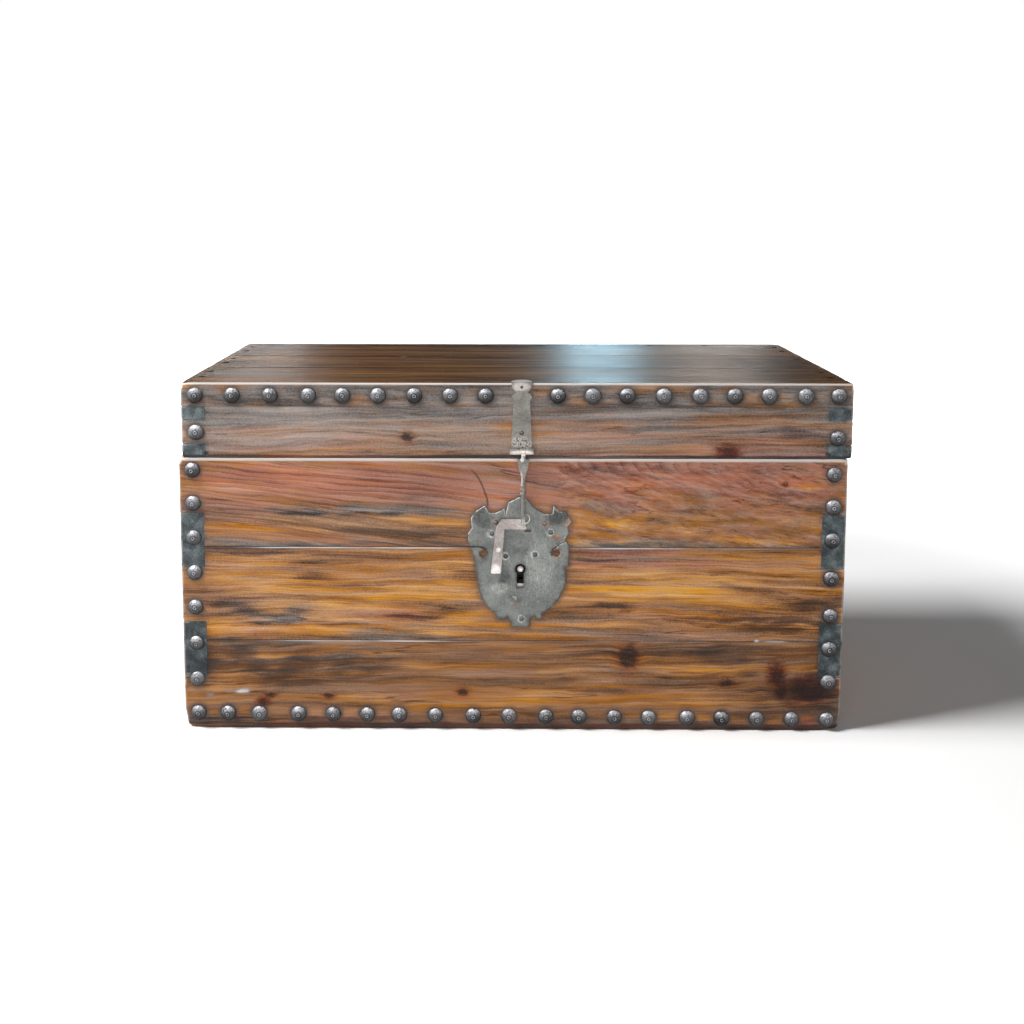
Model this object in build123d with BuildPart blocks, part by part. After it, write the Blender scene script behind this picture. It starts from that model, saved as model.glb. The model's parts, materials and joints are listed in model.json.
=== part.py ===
from build123d import *
from math import asin, degrees
import os

# A plank chest with a hinged lid. Millimetres; X runs left to right, Y front to back, Z up from the floor.
# The origin is on the floor, in the middle of the body.

# Carcass
width = 900.0  # outside length of the body and of the lid
depth = 480.0  # outside, front to back
body_height = 379.0  # floor to rim
rim_gap = 0.4  # between the rim and the lid's lower edge
lid_height = 101.6  # the lid's lower edge to its top face
board = 32.0  # thickness of the wall boards and of the lid's boards
bottom_board = 28.0  # thickness of the bottom boards
seam = 0.4  # open joint between neighbouring boards
lid_shift = 4.7  # the lid has settled this far to the right
arris = 1.5  # worn rounding along the lid's top edges
lower_board = 126.0  # height of the lowest front and back boards
middle_board = 131.0  # height of the front and back boards above them
body_fingers = 5  # box-joint fingers up each corner of the body, starting with the front's own
lid_side_finger = 18.5  # height of the side rails' fingers, at the top and bottom of the lid's corners
lid_front_board = 165.0  # width of the lid's front top board
lid_middle_board = 150.0  # width of the one behind it
bottom_boards = 3

# Battens under the lid
batten_width = 45.0
batten_thickness = 20.0
batten_station = 240.0  # from the middle of the lid to each batten

# Nails: head radius, head height, shank radius and shank length
dome_radius, dome_height, dome_rim, dome_shank, dome_length = 10.9, 7.0, 0.7, 2.0, 45.0
boss_radius, boss_sunk, boss_rise = 3.0, 0.7, 0.35  # the small button on a dome nail's crown
plain_radius, plain_height, plain_shank, plain_length = 4.5, 1.2, 1.8, 50.0
tack_radius, tack_height, tack_shank, tack_length = 3.1, 1.7, 1.2, 20.0
nail_point = 3.0  # a nail's point is this many shank radii long
nail_fit = 0.05  # radial clearance of a shank in its hole

# Nail rows. They were set by eye: a drift is how far a nail is from its even place in the row.
foot_inset = 18.5  # from the body's ends to the foot row's first and last nails
foot_left_height, foot_right_height = 22.0, 16.0
foot_drifts = (0, -7, -12, -6, -6, -7, -11, -9, -5, -4, -1, -4, -3, -4, 1, 0, 0, 0, 0)
column_inset = 18.0  # from the body's ends to the corner columns
left_column_drop, right_column_drop = 17.0, 21.5  # from the rim to each column's top nail
left_column_drifts = (0, 0, 2, 4, 4, 4, 3, 0)
right_column_drifts = (0, 4, 2, 0, 3, 7, 4, 0)
lid_row_inset = 19.7  # from the lid's ends
lid_row_drop = 17.0  # from the lid's top face
lid_row_clear = 48.3  # from the hasp strap's middle to the nearest nail each side
lid_left_drifts = (0, 1, 3, 6, 3, 2, 2, 1, 0)
lid_right_drifts = (0, 0, -1, 1, 3, 2, 1, 3, 0)
lid_left_corner_height, lid_right_corner_height = 34.4, 27.5  # from the lid's lower edge
back_row_nails, back_row_inset = 8, 96.0  # into the bottom boards; the inset is from the body's ends
side_row_nails, side_row_inset = 3, 80.0
lid_back_nails, lid_back_inset = 8, 128.0  # down through the lid into its back rail
plain_row_height = 14.0  # of the plain nails into the bottom boards
corner_nail_share = 0.3  # of a finger's height, up to its plain nail
lid_nail_shares = (0.38, 0.72)  # of a lid board's width, to its nails into the side rails

# Back hinges
hinge_station = 270.0  # from the middle of the body to each hinge
hinge_leaf = 2.5  # sheet thickness
hinge_knuckle = 5.0  # outer radius
hinge_pin_radius = 2.5
hinge_head_radius, hinge_head = 4.0, 1.5  # the pin's riveted ends
pin_fit = 0.08  # radial clearance of a pin in a knuckle
hinge_width = 36.0
knuckle_gap = 0.3  # between neighbouring knuckles, and between a knuckle and the wood
body_leaf_length = 120.0
lid_leaf_margin = 10.0  # from the lid leaf's end to the lid's top face
hinge_nail_margin, hinge_nail_gap = 22.4, 28.0  # from the rim or the lid's edge, and between nails
hinge_body_count, hinge_lid_count = 4, 3

# Hasp strap, on the lid's front
strap_x = 12.4
strap_sheet = 2.5
strap_low_half, strap_high_half = 14.3, 11.0  # half widths at the barrel and under the wings
strap_wing_half, strap_neck_half, rosette_half = 13.8, 7.5, 13.7
strap_scoop = 1.5  # depth of the curves between wing, neck and rosette
strap_shoulder_drop, strap_wing_drop, strap_neck_drop = 22.5, 19.5, 12.0  # from the lid's top face
strap_tab = 17.0  # how far the rosette runs back over the lid
rosette_hole = 2.0  # radius of its empty nail hole
rosette_hole_drop = 5.0
strap_nail_height = 35.0  # above the lid's lower edge

# Hasp arm, hung from the strap's barrel
barrel_height = 10.1  # of the barrel's axis above the lid's lower edge
barrel_radius = 4.25
barrel_half = 16.0
hasp_pin_radius = 1.6
arm_x = 14.6
arm_eye = 5.6  # width of the arm's eye
eye_clearance = 0.6  # above the barrel, where the eye turns in the strap
arm_sheet = 2.8  # thickness of its leaf
leaf_top, leaf_foot = 9.3, 37.5  # distances down the arm from the pin
leaf_half, leaf_shoulder = 7.7, 1.2
leaf_belly, leaf_waist = 27.0, 24.8  # stations that shape the leaf's flanks
leaf_neck_half, leaf_neck = 2.5, 4.0  # half width and length of the neck under the leaf
collar_gap, collar_step, collars = 7.7, 5.8, 3  # from the leaf's foot, and between collars
collar_radius, collar_half = 3.8, 1.1
rod_radius = 2.8
rod_end = 94.0
pad_drop, pad_radius, pad_sheet = 4.0, 3.4, 1.9  # the flat pad's middle lies this far past the rod's end
pad_neck_half = 2.2
loop_radius, loop_wire = 6.8, 0.8

# Latch bar, an L-shaped strip riveted to the arm's foot
bar_sheet = 2.4
bar_past_rivet = 4.3  # from the rivet to the end of the upper limb
bar_above_rivet, bar_below_rivet = 5.6, 8.6
bar_nose_drop, bar_nose_run = 5.0, 2.0  # the slanted end of the upper limb, below and left of the rivet
bar_inner = 24.9  # from the rivet to the inner corner
bar_limb, bar_foot = 11.5, 13.8  # widths of the lower limb at the corner and at its foot
bar_drop = 69.0  # from the rivet down to the foot
bar_lean = 4.8  # how far the lower limb leans to the left over its length
bar_corner_run, bar_corner_height = 8.0, 11.2  # the chamfer on the outer corner
bar_lip, bar_lip_inset = 2.4, 1.0  # how far the foot curls forward, and its setback from the limb's edges
rivet_radius, rivet_head, rivet_sheet = 1.3, 2.2, 0.8
stud_radius, stud_head, stud_sheet = 1.4, 2.6, 0.9
stud_drop = 36.2  # from the rivet's height down to the stud in the lower limb
working_gap = 0.3  # between pieces that turn past each other

# Lock plate
plate_x = 11.0
plate_drop = 53.0  # from the rim to its top
plate_width, plate_height = 139.0, 180.0
plate_sheet = 2.0
scroll_hole = 5.0
slot_right, slot_rise, slot_width, slot_height = 10.3, 134.4, 9.0, 3.0  # from the plate's middle and foot
slot_mortise_width, slot_mortise_height = 15.0, 8.0
key_right, key_rise = 0.2, 80.7
keyhole_radius, keyhole_slot, keyhole_drop = 7.1, 9.2, 25.7
keyway_margin = 2.5  # the hole in the board is this much larger all round
key_pin_radius = 4.0
sill_height, sill_width, sill_depth = 7.0, 12.0, 20.0  # the ward plate on the keyway's floor
sill_setback = 4.0  # from the boards' face
plate_nails = ((-38.2, 129.8), (41.1, 131.8), (32.8, 143.9), (-33.3, 145.7))  # from its middle and foot
plate_nails += ((-19.6, 98.5), (20.2, 101.0), (2.3, 11.8))

# Lock, behind the front boards
case_below_key, case_above_slot = 40.7, 23.6
case_half = 49.0  # half its width
case_depth = 22.0
case_wall = 2.0
case_tab = 12.0  # nailing tabs at its top and bottom
bolt_clear = 6.8  # from the drawn-back bolt to the slot
bolt_length, bolt_height, bolt_thickness = 44.0, 13.0, 6.0
bolt_setback = 1.0  # from the boards
talon_station, talon_width, talon_drop = 17.0, 10.0, 28.0  # from the bolt's left end; the key's bit moves it
bolt_fit = 0.15  # clearance over the ledges and under the spring
ledge_height = 4.0
talon_room = 1.0  # between the talon and the ledges' ends
spring_sheet, spring_width, spring_foot = 0.8, 5.0, 12.0

# Derived places
front, back = -depth / 2, depth / 2
left, right = -width / 2, width / 2
lid_left, lid_right = left + lid_shift, right + lid_shift
lid_base = body_height + rim_gap
lid_top = lid_base + lid_height
rail_top = lid_top - board
finger = body_height / body_fingers
side_fingers = [(i * finger, (i + 1) * finger) for i in range(1, body_fingers, 2)]
front_fingers = [(i * finger, (i + 1) * finger) for i in range(0, body_fingers, 2)]
lid_side_fingers = [(lid_base, lid_base + lid_side_finger), (rail_top - lid_side_finger, rail_top)]
lid_front_fingers = [(lid_base + lid_side_finger, rail_top - lid_side_finger)]
hinge_y = back + hinge_knuckle + knuckle_gap
hinge_z = body_height + rim_gap / 2
barrel_y = front - barrel_radius - knuckle_gap
barrel_z = lid_base + barrel_height
bar_back = front - plate_sheet - tack_height - working_gap
bar_front = bar_back - bar_sheet
pad_back = bar_front - working_gap
pad_front = pad_back - pad_sheet
arm_lean = degrees(asin((barrel_y - pad_back + rod_radius) / rod_end))
arm_plane = Plane((arm_x, barrel_y, barrel_z), x_dir=(1, 0, 0), z_dir=(0, -1, 0)).rotated((-arm_lean, 0, 0))
pad_z = arm_plane.from_local_coords((0, -rod_end - pad_drop, 0)).Z
plate_foot = body_height - plate_drop - plate_height
slot_x, slot_z = plate_x + slot_right, plate_foot + slot_rise
key_x, key_z = plate_x + key_right, plate_foot + key_rise
keyway_floor = key_z - keyhole_drop - keyway_margin
inside_front, inside_back = front + board, back - board
case_low, case_high = key_z - case_below_key, slot_z + case_above_slot
case_left, case_right = plate_x - case_half, plate_x + case_half
case_back = inside_front + case_depth
bolt_left = slot_x - slot_width / 2 - bolt_clear - bolt_length
bolt_travel = bolt_clear + slot_width  # to the right, across the slot
bolt_low = slot_z - bolt_height / 2
bolt_front = inside_front + bolt_setback
talon_left = bolt_left + talon_station

os.makedirs("parts", exist_ok=True)


def finish(built, name):
    """Labels a finished piece and writes it."""
    built.part.label = name
    export_step(built.part, f"parts/{name}.step")


def block(x, y, z, mode=Mode.ADD):
    """A box from its low and high values along each axis."""
    with Locations(((x[0] + x[1]) / 2, (y[0] + y[1]) / 2, (z[0] + z[1]) / 2)):
        Box(x[1] - x[0], y[1] - y[0], z[1] - z[0], mode=mode)


def row(first, last, drifts):
    """Even places from first to last, each moved by its drift."""
    step = (last - first) / (len(drifts) - 1)
    return [first + i * step + drift for i, drift in enumerate(drifts)]


def nail(head_radius, head_height, rim, shank, length, boss=False):
    """A nail along Y: its head stands out towards -Y and its shank runs to +Y."""
    with BuildPart() as made:
        with BuildSketch(Plane.XY):
            with BuildLine():
                crown = TangentArc((0, -head_height), (head_radius, -rim), tangent=(1, 0))
                shoulder = (shank, length - nail_point * shank)
                Polyline(crown @ 1, (head_radius, 0), (shank, 0), shoulder, (0, length), crown @ 0)
            make_face()
        revolve(axis=Axis.Y)
        if boss:
            with BuildSketch(Plane.XZ.offset(head_height - boss_sunk)):
                Circle(boss_radius)
            extrude(amount=boss_sunk + boss_rise)
    return made.part


def shank_hole(shank, length):
    """The hole that a nail's shank sits in."""
    with BuildPart() as made:
        with BuildSketch(Plane.XZ):
            Circle(shank + nail_fit)
        extrude(amount=-length - nail_fit)
    return made.part


def drill(tool, places, turn=(0, 0, 0)):
    """Cuts the tool out of the piece at each place."""
    if places:
        with Locations(*places):
            add(tool, rotation=turn, mode=Mode.SUBTRACT)


dome_nail = nail(dome_radius, dome_height, dome_rim, dome_shank, dome_length, boss=True)
plain_nail = nail(plain_radius, plain_height, plain_height / 2, plain_shank, plain_length)
tack = nail(tack_radius, tack_height, tack_height / 3, tack_shank, tack_length)
dome_hole = shank_hole(dome_shank, dome_length)
plain_hole = shank_hole(plain_shank, plain_length)
tack_hole = shank_hole(tack_shank, tack_length)
from_back, from_left, from_right = (0, 0, 180), (0, 0, -90), (0, 0, 90)
from_above, from_below = (-90, 0, 0), (90, 0, 0)

# Where every nail goes: the middle of its head's underside
foot_row = [
    (x, front, z)
    for x, z in zip(
        row(left + foot_inset, right - foot_inset, foot_drifts),
        row(foot_left_height, foot_right_height, [0] * len(foot_drifts)),
    )
]
left_column = [
    (left + column_inset, front, z)
    for z in row(foot_left_height, body_height - left_column_drop, left_column_drifts)[1:]
]
right_column = [
    (right - column_inset, front, z)
    for z in row(foot_right_height, body_height - right_column_drop, right_column_drifts)[1:]
]
lid_row = [
    (x, front, lid_top - lid_row_drop)
    for x in row(lid_left + lid_row_inset, strap_x - lid_row_clear, lid_left_drifts)
    + row(strap_x + lid_row_clear, lid_right - lid_row_inset, lid_right_drifts)
]
lid_corners = [
    (lid_left + lid_row_inset, front, lid_base + lid_left_corner_height),
    (lid_right - lid_row_inset, front, lid_base + lid_right_corner_height),
]
back_foot = [
    (x, back, plain_row_height)
    for x in row(left + back_row_inset, right - back_row_inset, [0] * back_row_nails)
]
back_corners = [
    (x, back, low + corner_nail_share * (high - low))
    for x in (left + board / 2, right - board / 2)
    for low, high in front_fingers
]
side_stations = row(front + side_row_inset, back - side_row_inset, [0] * side_row_nails)
left_foot = [(left, y, plain_row_height) for y in side_stations]
right_foot = [(right, y, plain_row_height) for y in side_stations]
lid_back_corners = [
    (x, back, (lid_base + rail_top) / 2) for x in (lid_left + board / 2, lid_right - board / 2)
]
lid_seams = [front, front + lid_front_board, front + lid_front_board + lid_middle_board, back]
lid_board_stations = [
    low + share * (high - low) for low, high in zip(lid_seams, lid_seams[1:]) for share in lid_nail_shares
]
lid_sides = [
    (x, y, lid_top) for x in (lid_left + board / 2, lid_right - board / 2) for y in lid_board_stations
]
lid_back_row = [
    (x, back - board / 2, lid_top)
    for x in row(lid_left + lid_back_inset, lid_right - lid_back_inset, [0] * lid_back_nails)
]
lid_boards_middle = [(low + high) / 2 for low, high in zip(lid_seams, lid_seams[1:])]
batten_nails = [
    (lid_shift + x, y, rail_top - batten_thickness)
    for x in (-batten_station, batten_station)
    for y in lid_boards_middle
]
plate_nail_places = [(plate_x + x, front - plate_sheet, plate_foot + z) for x, z in plate_nails]
strap_nail = [(strap_x, front - strap_sheet, lid_base + strap_nail_height)]
case_nails = [
    (x, front + board + case_wall, z)
    for x in (case_left + case_tab, case_right - case_tab)
    for z in (case_low - case_tab / 2, case_high + case_tab / 2)
]
hinge_body_nails = [
    (x, back + hinge_leaf, body_height - hinge_nail_margin - i * hinge_nail_gap)
    for x in (-hinge_station, hinge_station)
    for i in range(hinge_body_count)
]
hinge_lid_nails = [
    (x, back + hinge_leaf, lid_base + hinge_nail_margin + i * hinge_nail_gap)
    for x in (-hinge_station, hinge_station)
    for i in range(hinge_lid_count)
]


def within(places, low, high, axis=2):
    """The places whose nail reaches between low and high along an axis."""
    return [place for place in places if low - dome_radius < place[axis] < high + dome_radius]


def keyway():
    """The way for the key through the front boards."""
    with BuildSketch(Plane.XZ.offset(-front)) as way:
        with Locations((key_x, key_z)):
            Circle(keyhole_radius + keyway_margin)
        with Locations((key_x, key_z - (keyhole_drop + keyway_margin) / 2)):
            Rectangle(keyhole_slot + 2 * keyway_margin, keyhole_drop + keyway_margin)
    extrude(way.sketch, amount=-board, mode=Mode.SUBTRACT)


def slot_mortise():
    """The way behind the plate's slot, through to the lock's bolt."""
    x = (slot_x - slot_mortise_width / 2, slot_x + slot_mortise_width / 2)
    z = (slot_z - slot_mortise_height / 2, slot_z + slot_mortise_height / 2)
    block(x, (front, front + board), z, Mode.SUBTRACT)


# The body's front and back boards, with notches at both ends for the sides' fingers
wall_levels = [0, lower_board, lower_board + middle_board, body_height]
wall_names = ["lower", "middle", "upper"]
for name, low, high in zip(wall_names, wall_levels, wall_levels[1:]):
    low += seam / 2 if low > 0 else 0
    high -= seam / 2 if high < body_height else 0
    for wall, y in (("front", (front, front + board)), ("back", (back - board, back))):
        with BuildPart() as wall_board:
            block((left, right), y, (low, high))
            for notch_low, notch_high in side_fingers:
                notch = (max(low, notch_low), min(high, notch_high))
                if notch[0] < notch[1]:
                    block((left, left + board), y, notch, Mode.SUBTRACT)
                    block((right - board, right), y, notch, Mode.SUBTRACT)
            if wall == "front":
                drill(dome_hole, within(foot_row + left_column + right_column, low, high))
                drill(tack_hole, within(plate_nail_places, low, high))
                drill(tack_hole, within(case_nails, low, high), from_back)
                keyway()
                slot_mortise()
            else:
                drill(plain_hole, within(back_foot + back_corners, low, high), from_back)
                drill(tack_hole, within(hinge_body_nails, low, high), from_back)
        finish(wall_board, f"{wall}_board_{name}")

# The body's side boards, with notches for the front's and the back's fingers
side_levels = [0, body_height / 2, body_height]
for name, low, high in zip(["lower", "upper"], side_levels, side_levels[1:]):
    low += seam / 2 if low > 0 else 0
    high -= seam / 2 if high < body_height else 0
    for side, x, column, foot, turn in (
        ("left", (left, left + board), left_column, left_foot, from_left),
        ("right", (right - board, right), right_column, right_foot, from_right),
    ):
        with BuildPart() as side_board:
            block(x, (front, back), (low, high))
            for notch_low, notch_high in front_fingers:
                notch = (max(low, notch_low), min(high, notch_high))
                if notch[0] < notch[1]:
                    block(x, (front, front + board), notch, Mode.SUBTRACT)
                    block(x, (back - board, back), notch, Mode.SUBTRACT)
            drill(dome_hole, within(within(foot_row, low, high), x[0], x[1], axis=0))
            drill(dome_hole, within(column, low, high))
            drill(plain_hole, within(within(back_corners, low, high), x[0], x[1], axis=0), from_back)
            drill(plain_hole, within(foot, low, high), turn)
        finish(side_board, f"side_{side}_{name}")

# The bottom boards, let in between the walls
bottom_pitch = (inside_back - inside_front) / bottom_boards
for index in range(bottom_boards):
    y0 = inside_front + index * bottom_pitch + (seam / 2 if index > 0 else 0)
    y1 = inside_front + (index + 1) * bottom_pitch - (seam / 2 if index < bottom_boards - 1 else 0)
    with BuildPart() as bottom:
        block((left + board, right - board), (y0, y1), (0, bottom_board))
        drill(dome_hole, within(foot_row, left + board, right - board, axis=0) if index == 0 else [])
        drill(plain_hole, back_foot if index == bottom_boards - 1 else [], from_back)
        drill(plain_hole, within(left_foot, y0, y1, axis=1), from_left)
        drill(plain_hole, within(right_foot, y0, y1, axis=1), from_right)
    finish(bottom, f"bottom_board_{index + 1}")

# The lid's top boards
for index, (low, high) in enumerate(zip(lid_seams, lid_seams[1:])):
    y0 = low + (seam / 2 if low > front else 0)
    y1 = high - (seam / 2 if high < back else 0)
    with BuildPart() as lid_board:
        block((lid_left, lid_right), (y0, y1), (rail_top, lid_top))
        top_edges = lid_board.faces().sort_by(Axis.Z)[-1].edges()
        outer_edges = top_edges.filter_by(Axis.Y)
        if low == front:
            outer_edges += [top_edges.filter_by(Axis.X).sort_by(Axis.Y)[0]]
        if high == back:
            outer_edges += [top_edges.filter_by(Axis.X).sort_by(Axis.Y)[-1]]
        fillet(outer_edges, arris)
        drill(dome_hole, lid_row if low == front else [])
        drill(plain_hole, within(lid_sides + lid_back_row, y0, y1, axis=1), from_above)
        drill(plain_hole, within(batten_nails, y0, y1, axis=1), from_below)
        drill(tack_hole, hinge_lid_nails if high == back else [], from_back)
    finish(lid_board, f"lid_board_{('front', 'middle', 'back')[index]}")

# The lid's front and back rails
for wall, y in (("front", (front, front + board)), ("back", (back - board, back))):
    with BuildPart() as rail:
        block((lid_left, lid_right), y, (lid_base, rail_top))
        for notch in lid_side_fingers:
            block((lid_left, lid_left + board), y, notch, Mode.SUBTRACT)
            block((lid_right - board, lid_right), y, notch, Mode.SUBTRACT)
        if wall == "front":
            drill(dome_hole, lid_corners)
            drill(tack_hole, strap_nail)
        else:
            drill(plain_hole, lid_back_corners, from_back)
            drill(tack_hole, hinge_lid_nails, from_back)
            drill(plain_hole, lid_back_row, from_above)
    finish(rail, f"lid_rail_{wall}")

# The lid's side rails
for side, x in (("left", (lid_left, lid_left + board)), ("right", (lid_right - board, lid_right))):
    with BuildPart() as rail:
        block(x, (front, back), (lid_base, rail_top))
        for notch in lid_front_fingers:
            block(x, (front, front + board), notch, Mode.SUBTRACT)
            block(x, (back - board, back), notch, Mode.SUBTRACT)
        drill(dome_hole, within(lid_corners, x[0], x[1], axis=0))
        drill(plain_hole, within(lid_back_corners, x[0], x[1], axis=0), from_back)
        drill(plain_hole, within(lid_sides, x[0], x[1], axis=0), from_above)
    finish(rail, f"lid_rail_{side}")

# The battens that hold the lid's top boards together
for side, station in (("left", -batten_station), ("right", batten_station)):
    x = (lid_shift + station - batten_width / 2, lid_shift + station + batten_width / 2)
    with BuildPart() as batten:
        block(x, (inside_front, inside_back), (rail_top - batten_thickness, rail_top))
        drill(plain_hole, within(batten_nails, x[0], x[1], axis=0), from_below)
    finish(batten, f"lid_batten_{side}")

# Nails, each row as one group of separate nails
nail_groups = {
    "dome_nails_foot": [(dome_nail, foot_row, (0, 0, 0))],
    "dome_nails_left": [(dome_nail, left_column, (0, 0, 0))],
    "dome_nails_right": [(dome_nail, right_column, (0, 0, 0))],
    "dome_nails_lid_row": [(dome_nail, lid_row, (0, 0, 0))],
    "dome_nails_lid_corners": [(dome_nail, lid_corners, (0, 0, 0))],
    "plain_nails_back": [(plain_nail, back_foot + back_corners, from_back)],
    "plain_nails_sides": [(plain_nail, left_foot, from_left), (plain_nail, right_foot, from_right)],
    "plain_nails_lid_back": [(plain_nail, lid_back_corners, from_back)],
    "plain_nails_lid_top": [(plain_nail, lid_sides + lid_back_row, from_above)],
    "batten_nails": [(plain_nail, batten_nails, from_below)],
    "lock_plate_nails": [(tack, plate_nail_places, (0, 0, 0))],
    "lock_case_nails": [(tack, case_nails, from_back)],
    "hasp_strap_nail": [(tack, strap_nail, (0, 0, 0))],
    "hinge_nails_body": [(tack, hinge_body_nails, from_back)],
    "hinge_nails_lid": [(tack, hinge_lid_nails, from_back)],
}
for name, sets in nail_groups.items():
    with BuildPart() as nails:
        for kind, places, turn in sets:
            with Locations(*places):
                add(kind, rotation=turn)
    finish(nails, name)

# Back hinges: the body's leaf has the two outer knuckles and holds the pin, the lid's leaf has the middle one
knuckle = (hinge_width - 2 * knuckle_gap) / 3
clear_of_knuckle = hinge_knuckle + 2 * knuckle_gap
for side, hinge_x in (("left", -hinge_station), ("right", hinge_station)):
    edge = hinge_x - hinge_width / 2
    outer_knuckles = (edge, edge + 2 * (knuckle + knuckle_gap))
    middle_knuckle = (edge + knuckle + knuckle_gap,)
    for owner, starts, sign, reach, holes in (
        ("body", outer_knuckles, -1, body_leaf_length, hinge_body_nails),
        ("lid", middle_knuckle, 1, lid_top - lid_leaf_margin - hinge_z, hinge_lid_nails),
    ):
        with BuildPart() as leaf:
            near, far = hinge_z + sign * clear_of_knuckle, hinge_z + sign * (reach - hinge_width / 2)
            block((edge, edge + hinge_width), (back, back + hinge_leaf), (min(near, far), max(near, far)))
            with BuildSketch(Plane.XZ.offset(-back)):
                with Locations((hinge_x, far)):
                    Circle(hinge_width / 2)
            extrude(amount=-hinge_leaf)
            for start in starts:
                web = (min(hinge_z, near), max(hinge_z, near))
                block((start, start + knuckle), (back, back + hinge_leaf), web)
                with BuildSketch(Plane.YZ.offset(start)):
                    with Locations((hinge_y, hinge_z)):
                        Circle(hinge_knuckle)
                extrude(amount=knuckle)
            with BuildSketch(Plane.YZ.offset(edge)):
                with Locations((hinge_y, hinge_z)):
                    Circle(hinge_pin_radius + pin_fit)
            extrude(amount=hinge_width, mode=Mode.SUBTRACT)
            drill(tack_hole, within(holes, edge, edge + hinge_width, axis=0), from_back)
        finish(leaf, f"hinge_{side}_{owner}_leaf")
    with BuildPart() as pin:
        with BuildSketch(Plane.YZ.offset(edge)):
            with Locations((hinge_y, hinge_z)):
                Circle(hinge_pin_radius)
        extrude(amount=hinge_width)
        for end in (edge - hinge_head, edge + hinge_width):
            with BuildSketch(Plane.YZ.offset(end)):
                with Locations((hinge_y, hinge_z)):
                    Circle(hinge_head_radius)
            extrude(amount=hinge_head)
    finish(pin, f"hinge_{side}_pin")

# Hasp strap: a sheet on the lid's front whose rosette is bent over the lid's top edge
with BuildPart() as hasp_strap:
    with BuildSketch(Plane((strap_x, front, 0), x_dir=(1, 0, 0), z_dir=(0, -1, 0))):
        with BuildLine():
            wing_z, neck_z = lid_top - strap_wing_drop, lid_top - strap_neck_drop
            side_edge = Line((strap_low_half, barrel_z), (strap_high_half, lid_top - strap_shoulder_drop))
            wing = Line(side_edge @ 1, (strap_wing_half, wing_z))
            scoop = SagittaArc(wing @ 1, (strap_neck_half, neck_z), -strap_scoop)
            petal = SagittaArc(scoop @ 1, (rosette_half, lid_top), -strap_scoop)
            Polyline(petal @ 1, (0, lid_top), (0, barrel_z), side_edge @ 0)
        make_face()
        mirror(about=Plane.YZ)
    extrude(amount=strap_sheet)
    with BuildSketch(Plane.XY.offset(lid_top)):
        with Locations((strap_x, front)):
            Ellipse(rosette_half, strap_tab)
            Rectangle(4 * rosette_half, 4 * strap_tab, align=(Align.CENTER, Align.MAX), mode=Mode.SUBTRACT)
        with Locations((strap_x, front - strap_sheet / 2)):
            Rectangle(2 * rosette_half, strap_sheet)
    extrude(amount=strap_sheet)
    eye_room = (arm_x - arm_eye / 2 - knuckle_gap, arm_x + arm_eye / 2 + knuckle_gap)
    for start, end in ((strap_x - barrel_half, eye_room[0]), (eye_room[1], strap_x + barrel_half)):
        with BuildSketch(Plane.YZ.offset(start)):
            with Locations((barrel_y, barrel_z)):
                Circle(barrel_radius)
        extrude(amount=end - start)
    eye_top = barrel_z + barrel_radius + eye_clearance
    block(eye_room, (front - strap_sheet, front), (barrel_z - barrel_radius, eye_top), Mode.SUBTRACT)
    with BuildSketch(Plane.YZ.offset(strap_x - barrel_half)):
        with Locations((barrel_y, barrel_z)):
            Circle(hasp_pin_radius + pin_fit)
    extrude(amount=2 * barrel_half, mode=Mode.SUBTRACT)
    with BuildSketch(Plane.XZ.offset(-front)):
        with Locations((strap_x, lid_top - rosette_hole_drop)):
            Circle(rosette_hole)
    extrude(amount=strap_sheet, mode=Mode.SUBTRACT)
    drill(tack_hole, strap_nail)
finish(hasp_strap, "hasp_strap")

with BuildPart() as hasp_pin:
    with BuildSketch(Plane.YZ.offset(strap_x - barrel_half)):
        with Locations((barrel_y, barrel_z)):
            Circle(hasp_pin_radius)
    extrude(amount=2 * barrel_half)
finish(hasp_pin, "hasp_pin")

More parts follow.
